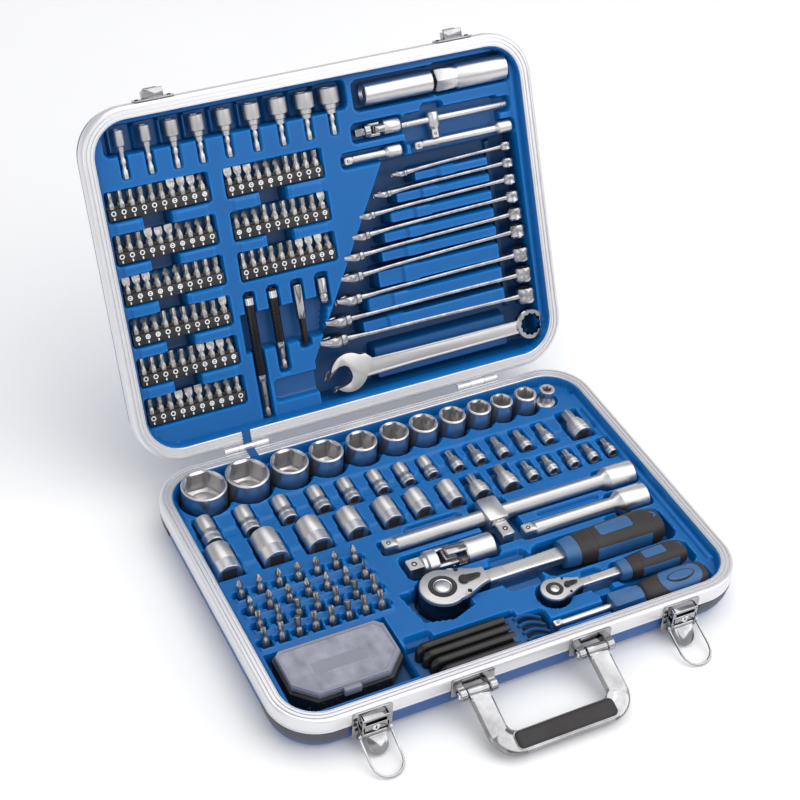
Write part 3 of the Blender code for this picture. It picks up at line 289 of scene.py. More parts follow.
class Maker:
    """Collects the shapes of one piece, each with its own finish."""

    def __init__(self):
        self.bm = bmesh.new()
        self.finishes = []

    def keep(self, bm, finish, place=None):
        """Adds a finished shape to the piece."""
        if place is not None:
            bmesh.ops.transform(bm, matrix=place, verts=bm.verts)
        bmesh.ops.recalc_face_normals(bm, faces=bm.faces)
        if finish not in self.finishes:
            self.finishes.append(finish)
        for face in bm.faces:
            face.material_index = self.finishes.index(finish)
            face.smooth = True
        carrier = bpy.data.meshes.new("carrier")
        bm.to_mesh(carrier)
        bm.free()
        self.bm.from_mesh(carrier)
        bpy.data.meshes.remove(carrier)
        return self

    def turned(self, profile, finish, place=None, steps=24):
        """A profile of (radius, height, form) spun round Z; a form such as hex reshapes its rings."""
        bm = bmesh.new()
        forms = [station for station in profile if len(station) > 2]
        verts = [bm.verts.new((station[0], 0, station[1])) for station in profile]
        edges = [bm.edges.new(pair) for pair in zip(verts, verts[1:])]
        bmesh.ops.spin(
            bm, geom=verts + edges, cent=(0, 0, 0), axis=(0, 0, 1), angle=math.tau, steps=steps, use_merge=True
        )
        for vert in bm.verts if forms else ():
            co = vert.co
            radius = math.hypot(co.x, co.y)
            for reach, height, form in forms:
                if abs(radius - reach) < 0.003 and abs(co.z - height) < 0.003:
                    share = polar(form, math.atan2(co.y, co.x))
                    vert.co = (co.x * share, co.y * share, co.z)
                    break
        bmesh.ops.remove_doubles(bm, verts=bm.verts, dist=0.0005)
        return self.keep(bm, finish, place)

    def slab(self, outline, z0, z1, finish, place=None, chamfer=0.0, segments=1):
        """An outline pulled up from z0 to z1, its top and bottom edges chamfered."""
        bm = bmesh.new()
        face = bm.faces.new([bm.verts.new((x, y, z0)) for x, y in outline])
        made = bmesh.ops.extrude_face_region(bm, geom=[face])["geom"]
        top = [v for v in made if isinstance(v, bmesh.types.BMVert)]
        bmesh.ops.translate(bm, verts=top, vec=(0, 0, z1 - z0))
        if chamfer:
            rims = [e for e in bm.edges if abs(e.verts[0].co.z - e.verts[1].co.z) < 1e-6]
            self.bevelled(bm, rims, chamfer, segments)
        return self.keep(bm, finish, place)

    def bevelled(self, bm, edges, offset, segments):
        bmesh.ops.bevel(
            bm, geom=edges, offset=offset, segments=segments, profile=0.5, affect="EDGES", material=-1,
            clamp_overlap=True
        )

    def block(self, x0, x1, y0, y1, z0, z1, finish, chamfer=0.4, segments=1, place=None):
        """A box with every edge chamfered."""
        bm = bmesh.new()
        bmesh.ops.create_cube(bm, size=1)
        bmesh.ops.scale(bm, vec=(x1 - x0, y1 - y0, z1 - z0), verts=bm.verts)
        bmesh.ops.translate(bm, vec=((x0 + x1) / 2, (y0 + y1) / 2, (z0 + z1) / 2), verts=bm.verts)
        if chamfer:
            self.bevelled(bm, list(bm.edges), chamfer, segments)
        return self.keep(bm, finish, place)

    def skin(self, rings, finish, place=None, closed=False):
        """A ring of points pulled through the rings that follow it, each with the same number of points."""
        bm = bmesh.new()
        verts = [bm.verts.new(point) for point in rings[0]]
        first = [bm.edges.new(pair) for pair in zip(verts, verts[1:] + verts[:1])]
        loop = first
        for ring in rings[1:] + (rings[:1] if closed else []):
            made = bmesh.ops.extrude_edge_only(bm, edges=loop)["geom"]
            fresh = {v for v in made if isinstance(v, bmesh.types.BMVert)}
            loop = [e for e in made if isinstance(e, bmesh.types.BMEdge) and fresh.issuperset(e.verts)]
            places = {vert: index for index, vert in enumerate(verts)}
            for vert in fresh:
                before = next(e.other_vert(vert) for e in vert.link_edges if e.other_vert(vert) in places)
                verts[places[before]] = vert
            for vert, point in zip(verts, ring):
                vert.co = point
        if closed:
            bmesh.ops.remove_doubles(bm, verts=bm.verts, dist=0.00001)
        else:
            bmesh.ops.holes_fill(bm, edges=first + loop, sides=0)
        return self.keep(bm, finish, place)

    def tube(self, points, radius, finish, sides=10, place=None, closed=False, flat=1.0):
        """A round wire through points; flat squeezes it across the plane of its first bend."""
        rings = []
        total = len(points)
        spots = [Vector(p) for p in points]
        for i, spot in enumerate(spots):
            after = spots[(i + 1) % total] if closed or i + 1 < total else spot
            before = spots[i - 1] if closed or i > 0 else spot
            along = (after - before).normalized()
            side = along.cross(Vector((0, 0, 1)))
            if side.length < 0.01:
                side = along.cross(Vector((0, 1, 0)))
            side.normalize()
            up = side.cross(along)
            size = radius[i] if isinstance(radius, (list, tuple)) else radius
            rings.append(
                [
                    spot
                    + size * math.cos(math.tau * k / sides) * side
                    + size * flat * math.sin(math.tau * k / sides) * up
                    for k in range(sides)
                ]
            )
        return self.skin(rings, finish, place, closed)

    def done(self, name, body, slot=None, cad=None):
        """Turns the collected shapes into a piece that rides on a body."""
        bm = self.bm
        if body in LID_BODIES:
            bmesh.ops.transform(bm, matrix=LID, verts=bm.verts)
        bmesh.ops.scale(bm, vec=(MM, MM, MM), verts=bm.verts)
        for edge in bm.edges:
            if len(edge.link_faces) == 2 and edge.calc_face_angle(0) > SHARP:
                edge.smooth = False
        mesh = bpy.data.meshes.new(name)
        bm.to_mesh(mesh)
        bm.free()
        for finish in self.finishes:
            mesh.materials.append(material(finish))
        obj = bpy.data.objects.new(name, mesh)
        bpy.context.scene.collection.objects.link(obj)
        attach(obj, body)
        if cad:
            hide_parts(cad)
        return obj


def arc(cx, cy, r, start, end, steps):
    angles = [math.radians(start + (end - start) * i / steps) for i in range(steps + 1)]
    return [(cx + r * math.cos(a), cy + r * math.sin(a)) for a in angles]


def rounded(x0, x1, y0, y1, r, steps=4):
    """The outline of a box with rounded corners."""
    points = []
    for cx, cy, start in (
        (x1 - r, y1 - r, 0), (x0 + r, y1 - r, 90), (x0 + r, y0 + r, 180), (x1 - r, y0 + r, 270)
    ):
        points += arc(cx, cy, r, start, start + 90, steps)
    return points


def case_outline(inset, steps=CORNER_STEPS):
    return rounded(
        inset - CASE_W / 2, CASE_W / 2 - inset, inset - CASE_D / 2, CASE_D / 2 - inset,
        max(CORNER_R - inset, 5.0), steps
    )


def case_ring(inset, z):
    return [(x, y, z) for x, y in case_outline(inset)]


# ---------------------------------------------------------------- case


def shell(half):
    """The moulded outer shell: rounded lower edge, a recessed panel and two ribs across its face."""
    made = Maker()
    side = 1.9
    r = 13.0
    stations = [(side, HALF_H - 3.0), (side, 24.2), (side, 23.0), (side + 0.6, 22.4), (side + 0.6, r + 1)]
    for step in range(1, 9):
        a = math.radians(90 * step / 8)
        stations.append((side + 0.6 + (r - 0.6) * (1 - math.cos(a)), r - r * math.sin(a)))
    panel = ((28.0, 0.0), (29.5, 1.1), (48.0, 1.1), (49.5, 0.2), (54.0, 0.2))
    inner = ((54.0, 1.4), (22.0, 1.6), (side + 5, 9.0), (side + 1.7, r + 1), (side + 1.7, HALF_H - 3.0))
    made.skin([case_ring(inset, z) for inset, z in (*inner, *stations, *panel)], "shell_plastic")
    made.done("case_shell_" + half, half, "shell_blue", half + "_shell")


def rim(half):
    """The aluminium edge: a flat top with fine grooves, a smooth band outside and a lip inside."""
    top = HALF_H
    profile = [
        (1.6, top - BAND_H), (0.2, top - BAND_H), (0.0, top - BAND_H + 0.4), (0.0, top - 12.6),
        (0.45, top - 12.4), (0.45, top - 11.8), (0.0, top - 11.6), (0.0, top - 2.6), (0.25, top - 1.4),
        (1.0, top - 0.4), (2.0, top), (3.2, top), (3.35, top - 1.3), (4.45, top - 1.3), (4.6, top), (6.8, top),
        (6.95, top - 1.1), (7.75, top - 1.1), (7.9, top), (9.6, top), (9.7, top - 0.8), (10.2, top - 0.8),
        (10.3, top), (10.8, top), (11.3, top - 0.4), (11.5, top - 1.2), (11.5, top - 9.4), (10.2, top - 9.4),
        (10.2, top - 2.2), (1.6, top - 2.2)
    ]
    made = Maker()
    made.skin([case_ring(inset, z) for inset, z in profile], "rim_aluminium", closed=True)
    made.done("case_rim_" + half, half, "rim_silver", half + "_frame")


def guard(corner, sx, sy):
    """A plastic skin over one lower corner of the base, thicker at its upper edge."""
    made = Maker()
    x, y = CASE_W / 2 - CORNER_R, CASE_D / 2 - CORNER_R
    path = [(x + CORNER_R, y - 9.0, 0.0)]
    for step in range(CORNER_STEPS + 1):
        path.append((x, y, math.radians(90 * step / CORNER_STEPS)))
    path.append((x - 9.0, y + CORNER_R, math.radians(90)))
    profile = [(1.6, 22.6), (0.0, 23.4), (0.0, 20.6), (0.55, 20.2)]
    for step in range(0, 7):
        a = math.radians(62 * step / 6)
        profile.append((0.55 + 17.5 * (1 - math.cos(a)), 19.0 - 18.0 * math.sin(a)))
    low = profile[-1]
    profile += [(low[0] + 1.0, low[1] + 1.2), (1.6, 18.0)]
    rings = []
    for px, py, angle in path:
        ring = []
        for inset, z in profile:
            radius = CORNER_R - inset
            if (px, py) == (x, y):
                spot = (x + radius * math.cos(angle), y + radius * math.sin(angle))
            elif angle == 0.0:
                spot = (x + radius, py)
            else:
                spot = (px, y + radius)
            ring.append((sx * spot[0], sy * spot[1], z))
        rings.append(ring)
    made.skin(rings, "guard_grey")
    made.done("corner_guard_" + corner, "base", "guard_grey", "guard_" + corner)


class TOOLSET_OT_case(bpy.types.Operator):
    """Builds both shells, both rims and the corner guards"""

    bl_idname = "toolset.case"
    bl_label = "Case shells and rims"

    def execute(self, context):
        for build in (shell, rim):
            for half in HALVES:
                build(half)
        for end, sy in (("front", -1), ("back", 1)):
            for side, sx in SIDES:
                guard(side + "_" + end, sx, sy)
        return {"FINISHED"}


# ---------------------------------------------------------------- trays


def smooth(t):
    t = np.clip(t, 0, 1)
    return t * t * (3 - 2 * t)


def box_distance(x, y, shape):
    """Signed distance to a rounded box (x0, x1, y0, y1, radius)."""
    x0, x1, y0, y1, r = shape
    qx = np.abs(x - (x0 + x1) / 2) - (x1 - x0) / 2 + r
    qy = np.abs(y - (y0 + y1) / 2) - (y1 - y0) / 2 + r
    return np.hypot(np.maximum(qx, 0), np.maximum(qy, 0)) + np.minimum(np.maximum(qx, qy), 0) - r


def disc_distance(x, y, shape):
    cx, cy, r = shape
    return np.hypot(x - cx, y - cy) - r


def hull_distance(x, y, corners):
    """Signed distance to a convex outline, its corners anticlockwise."""
    far = np.full(x.shape, -1e9)
    for (ax, ay), (bx, by) in zip(corners, corners[1:] + corners[:1]):
        run = math.hypot(bx - ax, by - ay)
        far = np.maximum(far, ((x - ax) * (by - ay) - (y - ay) * (bx - ax)) / run)
    return far


def tray(half, steps, pitch, wall):
    """A sheet of points pulled up and down by a list of (kind, shape, height, slope) steps."""
    inset = TRAY_INSET
    half_x, half_y = CASE_W / 2 - inset, CASE_D / 2 - inset
    nx, ny = round(2 * half_x / pitch), round(2 * half_y / pitch)
    bm = bmesh.new()
    bmesh.ops.create_grid(bm, x_segments=nx, y_segments=ny, size=1)
    bmesh.ops.scale(bm, vec=(half_x, half_y, 1), verts=bm.verts)
    co = np.array([v.co for v in bm.verts])
    x, y = co[:, 0].copy(), co[:, 1].copy()
    r = CORNER_R - inset
    out = box_distance(x, y, (-half_x, half_x, -half_y, half_y, r))
    cx, cy = half_x - r, half_y - r
    over = (out > 0) & (np.abs(x) > cx) & (np.abs(y) > cy)
    gx, gy = np.abs(x) - cx, np.abs(y) - cy
    far = np.maximum(np.hypot(gx, gy), 1e-6)
    x = np.where(over, np.sign(x) * (cx + gx * r / far), x)
    y = np.where(over, np.sign(y) * (cy + gy * r / far), y)
    edge = -box_distance(x, y, (-half_x, half_x, -half_y, half_y, r))
    z = np.full(x.shape, TRAY_Z)
    for kind, shape, height, slope in steps:
        slope = slope or wall
        if isinstance(shape[0], tuple):
            d = hull_distance(x, y, shape)
        else:
            d = (disc_distance if len(shape) == 3 else box_distance)(x, y, shape)
        share = smooth((slope / 2 - d) / slope)
        moves = z > height if kind == "cut" else z < height
        z = np.where(moves, z + (height - z) * share, z)
    border = smooth((LIP_WIDTH - edge) / LIP_SLOPE)
    z = z + (HALF_H - LIP_DROP - z) * border
    for vert, px, py, pz in zip(bm.verts, x, y, z):
        vert.co = (px, py, pz)
    gone = [v for v, beyond in zip(bm.verts, out > 1.6 * pitch) if beyond]
    bmesh.ops.delete(bm, geom=gone, context="VERTS")
    bmesh.ops.remove_doubles(bm, verts=bm.verts, dist=0.02)
    made = Maker()
    made.bm.free()
    made.bm = bm
    made.finishes = ["tray_plastic", "tray_recess_shade", "tray_deep_shade"]
    bm.normal_update()
    for face in bm.faces:
        face.smooth = True
        height = face.calc_center_median().z
        # Lower faces take the darker copies: painted shade, darker in deeper pockets.
        face.material_index = 2 if height < TRAY_Z - DEEP_SHADE_DROP else 1 if height < TRAY_Z - RECESS_SHADE_DROP else 0
        if face.normal.z < 0:
            face.normal_flip()
    made.done("moulded_tray_" + half, half, "tray_blue", half + "_tray")


# Places of the loose tools, in millimetres: x, then sizes
STANDING = (
    (-173.5, 20.4, 32.0), (-132.5, 19.7, 30.0), (-92.0, 17.3, 27.0), (-56.0, 15.7, 24.0), (-21.0, 14.4, 22.0),
    (12.0, 13.5, 21.0), (42.0, 13.5, 20.0), (72.0, 12.5, 18.0), (100.0, 11.4, 16.0), (124.0, 10.6, 15.0),
    (149.5, 10.6, 14.0)
)
STANDING_Y = 124.0
BACK_ROW = (
    (-186.0, 8.2, 31.0, "small"), (-150.0, 7.6, 30.0, "small"), (-115.0, 7.4, 29.0, "small"),
    (-82.0, 7.0, 28.0, "small"), (-53.0, 6.6, 27.0, "small"), (-24.0, 6.3, 26.0, "small"),
    (2.0, 6.2, 25.0, "small"), (26.0, 6.0, 24.0, "small"), (52.0, 5.8, 25.0, "star"), (75.0, 5.8, 25.0, "star"),
    (99.0, 5.8, 26.0, "hex"), (123.0, 5.8, 26.0, "hex"), (147.0, 5.8, 26.0, "hex"), (180.0, 10.0, 34.0, "hex")
)
FRONT_ROW = (
    (-188.0, 12.0, 33.0, "large"), (-145.0, 12.2, 33.5, "large"), (-104.0, 11.4, 32.0, "large"),
    (-68.0, 10.2, 29.0, "large"), (-33.0, 9.6, 28.0, "large"), (-3.0, 9.0, 27.0, "large"),
    (29.0, 8.2, 26.0, "large"), (55.0, 8.6, 28.0, "star"), (84.0, 8.8, 30.0, "hex"), (109.0, 5.7, 23.0, "star"),
    (130.0, 5.4, 22.0, "hex"), (152.0, 5.4, 22.0, "star"), (173.0, 5.2, 22.0, "hex"), (193.0, 5.2, 21.0, "star")
)
BACK_ROW_Y, FRONT_ROW_Y = 81.5, 42.5
LYING_Z = 27.6
BIT_ROWS = (
    (2.0, 7, -187.0, 17.4), (-18.0, 7, -186.5, 17.4), (-36.0, 7, -186.0, 17.4), (-55.0, 8, -189.0, 15.0)
)
BIT_TIPS = ("cross", "cross", "cross", "star", "star", "hex", "flat")
BIT_LEAN = 24.0
BIT_R = 3.65


def step_list():
    """An empty list of tray steps, with the two functions that add to it."""
    steps = []

    def cut(shape, height, slope=None):
        steps.append(("cut", shape, height, slope))

    def lift(shape, height, slope=None):
        steps.append(("lift", shape, height, slope))

    return steps, cut, lift


def base_tray_steps():
    steps, cut, lift = step_list()
    # terraces between the rows
    lift((-199, 199, 97, 143, 8), 29.4, 2.4)
    cut((-200, 200, 70, 79, 3), 26.8, 1.4)
    cut((-200, 200, 24, 34, 3), 26.8, 1.4)
    lift((92, 198, 56, 70, 4), 28.9, 1.6)
    for x, r, _ in STANDING:
        cut((x, STANDING_Y - 1.5, r + 3.4), 23.4, 3.4)
        cut((x, STANDING_Y, r + 1.5), 7.0, 2.0)
    cut((172, 122, 10.5), 14.0, 2.0)
    for y, row in ((BACK_ROW_Y, BACK_ROW), (FRONT_ROW_Y, FRONT_ROW)):
        for x, r, size, _ in row:
            half = size / 2
            cut((x - r - 3.2, x + r + 3.2, y - half - 3.4, y + half * 0.2, 3), 26.4, 1.4)
            cut((x - r - 1.3, x + r + 1.3, y - half - 2.0, y + half + 1.6, 2), LYING_Z - r - 1.0, 1.8)
    # bit rows: a dark trough with a notch for each bit
    for y, count, x0, step in BIT_ROWS:
        x1 = x0 + step * (count - 1)
        lift((x0 - 8, x1 + 8, y - 9.5, y - 3.5, 2), 29.4, 2.0)
        cut((x0 - 9, x1 + 8, y - 2.0, y + 3.6, 2), 25.0, 2.0)
        for i in range(count):
            x = x0 + step * i
            cut(((x - 6.6, y + 3.4), (x - 5.0, y - 5.6), (x + 3.6, y - 6.6), (x + 5.8, y + 4.6)), 19.0, 2.0)
    # bars, joint and ratchets
    cut((-59, 163, -4.6, 12.4, 4), 20.4, 2.0)
    cut((158, 196, -8.8, 16.8, 5), 16.2, 2.4)
    cut((34, 70, -31, 22, 5), 16.8, 2.4)
    cut((-30, 26, 11, 20, 5), 24.0, 2.2)
    cut((88, 150, -14, -8, 3), 24.0, 2.2)
    cut((62, 160, -34.6, -17.4, 4), 19.4, 2.0)
    cut((154, 193, -39, -13, 5), 15.0, 2.4)
    cut((140, 167, -48, -38, 4), 22.0, 2.2)
    cut((-50, 37, -40.5, -11.5, 6), 13.0, 2.6)
    cut((-33.0, -63.0, 22.4), 5.6, 2.6)
    cut(((-66.0, -52.0), (-60.0, -86.0), (-36.0, -92.0), (-14.0, -84.0), (-20.0, -50.0)), 16.0, 3.0)
    cut((-20, 84, -74, -52, 6), 15.0, 2.6)
    cut((60, 190, -83, -44.5, 10), 13.4, 2.6)
    cut((20, 56, -84, -42, 6), 21.5, 2.6)
    cut((53.0, -102.0, 14.6), 15.6, 2.4)
    cut((60, 118, -109, -95, 5), 19.5, 2.2)
    cut((112, 190, -115, -89, 8), 20.0, 2.2)
    cut((86, 104, -117, -88, 4), 23.0, 2.2)
    cut((34, 96, -136.5, -125.5, 4), 20.6, 2.0)
    cut((88, 189, -146, -117, 7), 12.0, 2.2)
    # front recesses
    cut(((-196.5, -69.0), (-196.5, -136.0), (-91.0, -136.0), (-91.0, -69.0)), 14.6, 2.2)
    cut((-89, 12, -145, -104, 4), 18.4, 2.6)
    cut((0, 36, -145, -112, 3), 16.0, 2.6)
    cut((-86, -62, -104, -96, 3), 22.0, 2.4)
    lift((-205, 205, -150, -141, 3), 29.2, 2.2)
    lift((197, 206, -120, 120, 3), 30.6, 2.4)
    return steps


STRIPS = (
    (-153.0, 74.0), (-153.0, 36.0), (-153.0, -1.0), (-153.0, -38.0), (-153.0, -75.0), (-153.0, -112.0),
    (-45.0, 73.0), (-45.0, 34.0), (-45.0, -3.0)
)
DRIVERS = (
    (-177, 4.6), (-154, 5.1), (-130, 6.3), (-107, 6.8), (-82, 7.1), (-56, 7.6), (-31, 8.2), (-6, 9.0), (18, 9.4)
)
WRENCHES = (
    (187.0, 50.0, 75.0, 49.0, 6.2), (187.0, 34.0, 55.0, 34.0, 7.0), (187.0, 18.0, 35.0, 18.0, 7.8),
    (187.5, 1.0, 26.0, 1.0, 8.6), (188.0, -16.0, 16.0, -16.0, 9.4), (188.0, -33.0, 11.0, -34.0, 10.2),
    (188.5, -56.0, 5.0, -54.0, 11.0), (189.0, -76.0, -9.0, -71.0, 11.6), (189.0, -97.0, -17.0, -88.0, 12.4)
)


def lid_tray_steps():
    steps, cut, lift = step_list()
    lift((-118, -62, -140, 92, 6), 28.0)
    cut((-192, 33, 117, 142, 5), 15.0, 2.6)
    for x, r in DRIVERS:
        lift((x - r - 4.8, x - r - 2.0, 119, 140, 1), 22.0, 1.6)
        cut((x - 3.6, x + 3.6, 96, 118, 2), 21.0, 2.2)
        lift((x - 8.5, x + 8.5, 103, 110, 2), 24.8, 1.6)
        cut((x - 3.2, x + 3.2, 96, 118, 2), 22.0, 1.6)
    for cx, v in STRIPS:
        cut((cx - 46.5, cx + 46.5, v - 12.5, v + 13.5, 2.5), 17.5, 2.2)
    for cx in (-153.0, -45.0):
        rows = sorted(v for at, v in STRIPS if at == cx)
        for low, high in zip(rows, rows[1:]):
            middle = (low + high) / 2
            cut((cx - 16, cx + 8, middle - 8, middle + 8, 3), 10.0, 3.0)
            lift((cx - 42, cx - 20, middle - 4.6, middle + 4.6, 2), 29.4, 2.0)
            lift((cx + 12, cx + 42, middle - 4.6, middle + 4.6, 2), 29.4, 2.0)
    for x0, x1, v0, v1 in (
        (-93, -83, -146, -26), (-70, -60, -106, -25), (-47, -36, -88, -25), (-23, -11, -56, -24)
    ):
        cut((x0, x1, v0, v1, 3), 19.0, 2.2)
    cut(((-98, -46), (-98, -80), (-22, -80), (-14, -46)), 15.0, 2.8)
    cut((-78, -30, -132, -112, 4), 20.0, 2.6)
    # right half
    cut((40, 122, 112, 139, 6), 14.8, 2.6)
    cut((118, 198, 112, 140, 6), 14.8, 2.6)
    cut((34, 84, 84, 101, 4), 19.0, 2.4)
    cut((80, 194, 84, 98, 4), 19.6, 2.4)
    cut((104, 126, 72, 106, 4), 18.0, 2.4)
    cut((85.5, 182.5, 73, 100, 4), 18.0, 2.4)
    cut((90, 196, 63, 77, 4), 19.4, 2.4)
    cut((20, 84, 63, 77, 4), 19.4, 2.4)
    cut(((60, 62), (-34, -104), (-34, -143), (201, -143), (201, 62)), 5.0, 5.0)
    for low, high in zip(WRENCHES, WRENCHES[1:]):
        middle = (low[1] + high[1]) / 2
        half = (low[1] - high[1]) / 2 - 2.7
        x = high[2] + 34
        lift((x, x + 42, middle - half, middle + half, 2), 24.5, 3.0)
        lift((x + 26, 166, middle - half + 0.4, middle + half - 0.4, 2), 27.6, 3.4)
    lift((172, 178, -104, 58, 2), 10.0, 2.0)
    lift((26, 166, -139, -107, 3), 19.5, 3.0)
    lift((196, 206, -140, 140, 4), 30.0, 2.6)
    return steps


class TOOLSET_OT_trays(bpy.types.Operator):
    """Moulds the trays of both halves, with a pocket for every tool"""

    bl_idname = "toolset.trays"
    bl_label = "Moulded trays"

    def execute(self, context):
        sizes = context.scene.tool_set_sizes
        pitch, wall = sizes.pitch / MM, sizes.wall / MM
        tray("base", base_tray_steps(), pitch, wall)
        tray("lid", lid_tray_steps(), pitch, wall)
        return {"FINISHED"}


# ---------------------------------------------------------------- base tools


def standing_socket(number, x, r, across):
    """A socket on its drive end: hexagon opening up, chamfered rim, drive hole in its floor."""
    z0, z1 = 6.3, 43.3
    hexagon = across / 2 / math.cos(math.pi / 6)
    profile = [
        (0, z0), (r - 1.0, z0), (r, z0 + 1.0), (r, z1 - 1.0), (r - 0.7, z1 - 0.2), (r - 1.2, z1),
        (hexagon * 0.99 + 0.25, z1), (hexagon, z1 - 1.5, "hex"), (hexagon - 0.01, z0 + 17, "hex"),
        (across * 0.42, z0 + 16), (across * 0.42, z0 + 13.0),
        (6.5 if across > 18 else 5.4, z0 + 12.6, "square"), (6.4 if across > 18 else 5.3, z0 + 3, "square"),
        (0, z0 + 3)
    ]
    made = Maker().turned(profile, "satin_chrome", aim("Z", (x, STANDING_Y, 0)), 48)
    made.done(
        "standing_socket_%02d" % number, "loose_socket_%02d" % number, "satin_steel", "socket_%02d" % number
    )


def lying_socket(name, x, y, r, size, kind):
    """A socket or bit socket lying with its drive opening towards the handle."""
    made = Maker()
    place = aim("-Y", (x, y + size / 2, LYING_Z), 45)
    hole = r * 0.72
    mouth = [
        (r - 0.5, size), (hole + 0.5, size), (hole, size - 0.8, "square"), (hole, size - 8.0, "square"),
        (0, size - 8.0)
    ]
    if kind == "large":
        band = size * 0.64
        body = [
            (0, 0.4), (r * 0.66, 0.4, "hex"), (r * 0.8, 0.0), (r - 0.6, 0.0), (r, 0.7), (r, band - 1.6),
            (r - 0.7, band - 0.6), (r - 0.7, band)
        ]
        made.turned(body + [(r - 0.75, size - 0.8), *mouth], "satin_grey", place, 32)
        ring = [
            (r - 0.8, band - 0.4), (r - 0.1, band), (r - 0.1, size - 0.6), (r - 0.8, size - 0.1),
            (r - 0.8, band - 0.4)
        ]
        made.turned(ring, "bright_satin", place, 32)
    elif kind == "small":
        waist = size * 0.58
        body = [
            (0, 0.5), (r * 0.62, 0.5, "hex"), (r * 0.78, 0.0), (r - 0.5, 0.0), (r, 0.6), (r, waist - 4.5),
            (r - 1.1, waist - 2.5), (r - 1.1, waist), (r - 0.1, waist + 1.4), (r + 0.2, waist + 2.0)
        ]
        made.turned(body + [(r + 0.2, size - 0.7), *mouth], "satin_grey", place, 28)
        ring = [
            (r, waist + 4.0), (r + 0.34, waist + 4.3), (r + 0.34, waist + 6.3), (r, waist + 6.6),
            (r, waist + 4.0)
        ]
        made.turned(ring, "bright_satin", place, 28)
    else:
        tip = r * 0.52 if kind == "star" else r * 0.58
        neck = size * 0.44
        body = [
            (0, 0), (tip - 0.5, 0.0, kind), (tip, 0.6, kind), (tip, neck - 1.5, kind), (tip + 0.5, neck - 0.7),
            (r * 0.84, neck + 0.4), (r * 0.84, neck + 4.0), (r, neck + 5.2)
        ]
        made.turned(body + [(r, size - 0.7), *mouth], "satin_grey", place, 28)
        ring = [
            (r - 0.1, size - 6.0), (r + 0.2, size - 5.7), (r + 0.2, size - 4.2), (r - 0.1, size - 3.9),
            (r - 0.1, size - 6.0)
        ]
        made.turned(ring, "bright_satin", place, 28)
    # A dark disc down in the socket's opening: painted shade.
    dark = [
        (0, size - 3.0), (hole - 0.15, size - 3.0, "square"), (hole - 0.15, size - 1.1, "square"),
        (0, size - 1.1)
    ]
    made.turned(dark, "painted_slot_shade", place, 28)
    made.done(name, "base", "satin_steel")


def flanged_adapter():
    x, y, z = 172.0, 122.0, 14.4
    profile = [
        (0, z), (9.0, z), (9.6, z + 0.6), (9.6, z + 12.0), (9.0, z + 13.0), (6.0, z + 14.0), (6.0, z + 20.0),
        (7.3, z + 22.0), (7.3, z + 28.0), (6.8, z + 28.6), (4.4, z + 28.6), (4.3, z + 27.6, "hex"),
        (4.3, z + 16.0, "hex"), (0, z + 16.0)
    ]
    made = Maker().turned(profile, "satin_chrome", aim("Z", (x, y, 0)), 36)
    made.done("flanged_adapter", "base", "satin_steel")


class TOOLSET_OT_sockets(bpy.types.Operator):
    """Builds the standing and lying sockets in the base"""

    bl_idname = "toolset.sockets"
    bl_label = "Sockets"

    def execute(self, context):
        for number, (x, r, across) in enumerate(STANDING, 1):
            standing_socket(number, x, r, across)
        for number, (x, r, size, kind) in enumerate(BACK_ROW, 1):
            lying_socket("back_row_socket_%02d" % number, x, BACK_ROW_Y, r, size, kind)
        for number, (x, r, size, kind) in enumerate(FRONT_ROW, 1):
            lying_socket("front_row_socket_%02d" % number, x, FRONT_ROW_Y, r, size, kind)
        flanged_adapter()
        return {"FINISHED"}


def bit_shape(made, tip, place, size=25.0, steps=12):
    """A hexagon-shank bit pointing along +Z: shank, groove, neck and a shaped tip."""
    neck = size * 0.52
    profile = [
        (0, 0), (BIT_R - 0.7, 0, "hex"), (BIT_R, 0.8, "hex"), (BIT_R, neck, "hex"), (BIT_R - 0.8, neck + 1.2),
        (BIT_R - 1.25, neck + 2.6)
    ]
    if tip == "cross":
        profile += [
            (2.4, size * 0.68), (3.3, size * 0.74, "cross"), (3.1, size * 0.82, "cross"), (0.9, size, "cross"),
            (0, size)
        ]
    elif tip == "flat":
        profile += [(2.4, size * 0.68), (2.2, size * 0.72), (0, size * 0.72)]
    else:
        wide = 2.7 if tip == "star" else 3.0
        profile += [
            (wide - 0.3, size * 0.68), (wide, size * 0.74, tip), (wide, size - 0.5, tip),
            (wide - 0.5, size, tip), (0, size)
        ]
    made.turned(profile, "bit_steel", place, steps)
    if tip == "flat":
        rings = []
        for share, wide, thick in ((0.66, 2.2, 1.9), (0.78, 3.4, 1.2), (0.86, 3.6, 0.8), (1.0, 3.4, 0.45)):
            z = size * share
            rings.append([(wide, thick, z), (-wide, thick, z), (-wide, -thick, z), (wide, -thick, z)])
        made.skin(rings, "bit_steel", place)


def standing_bits():
    number = 0
    for y, count, x0, step in BIT_ROWS:
        for i in range(count):
            number += 1
            tip = "flat" if number == 14 else BIT_TIPS[(i + number) % 3] if y > -20 else BIT_TIPS[3 + (i % 3)]
            lean = Matrix.Rotation(math.radians(-BIT_LEAN), 4, "X")
            turn = Matrix.Rotation(0.3 * number, 4, "Z")
            place = Matrix.Translation((x0 + step * i, y - 1.6, 17.0)) @ lean @ turn
            made = Maker()
            bit_shape(made, tip, place, 23.0, 24)
            made.done("base_bit_%02d" % number, "base", "satin_steel")


class TOOLSET_OT_bits(bpy.types.Operator):
    """Stands the loose screwdriver bits in the base tray"""

    bl_idname = "toolset.bits"
    bl_label = "Loose bits"

    def execute(self, context):
        standing_bits()
        return {"FINISHED"}


def ball_mark(made, x, y, z, r=1.9):
    """The sprung ball on a square end: a ring of painted shade round a bright bead."""
    ring = [(r * 0.55, -0.3), (r * 0.55, 0.12), (r, 0.12), (r, -0.3), (r * 0.55, -0.3)]
    made.turned(ring, "painted_slot_shade", aim("Z", (x, y, z)), 16)
    made.turned(
        [(0, -0.4), (r * 0.5, -0.2), (r * 0.42, 0.3), (0, 0.55)], "bright_band", aim("Z", (x, y, z)), 16
    )


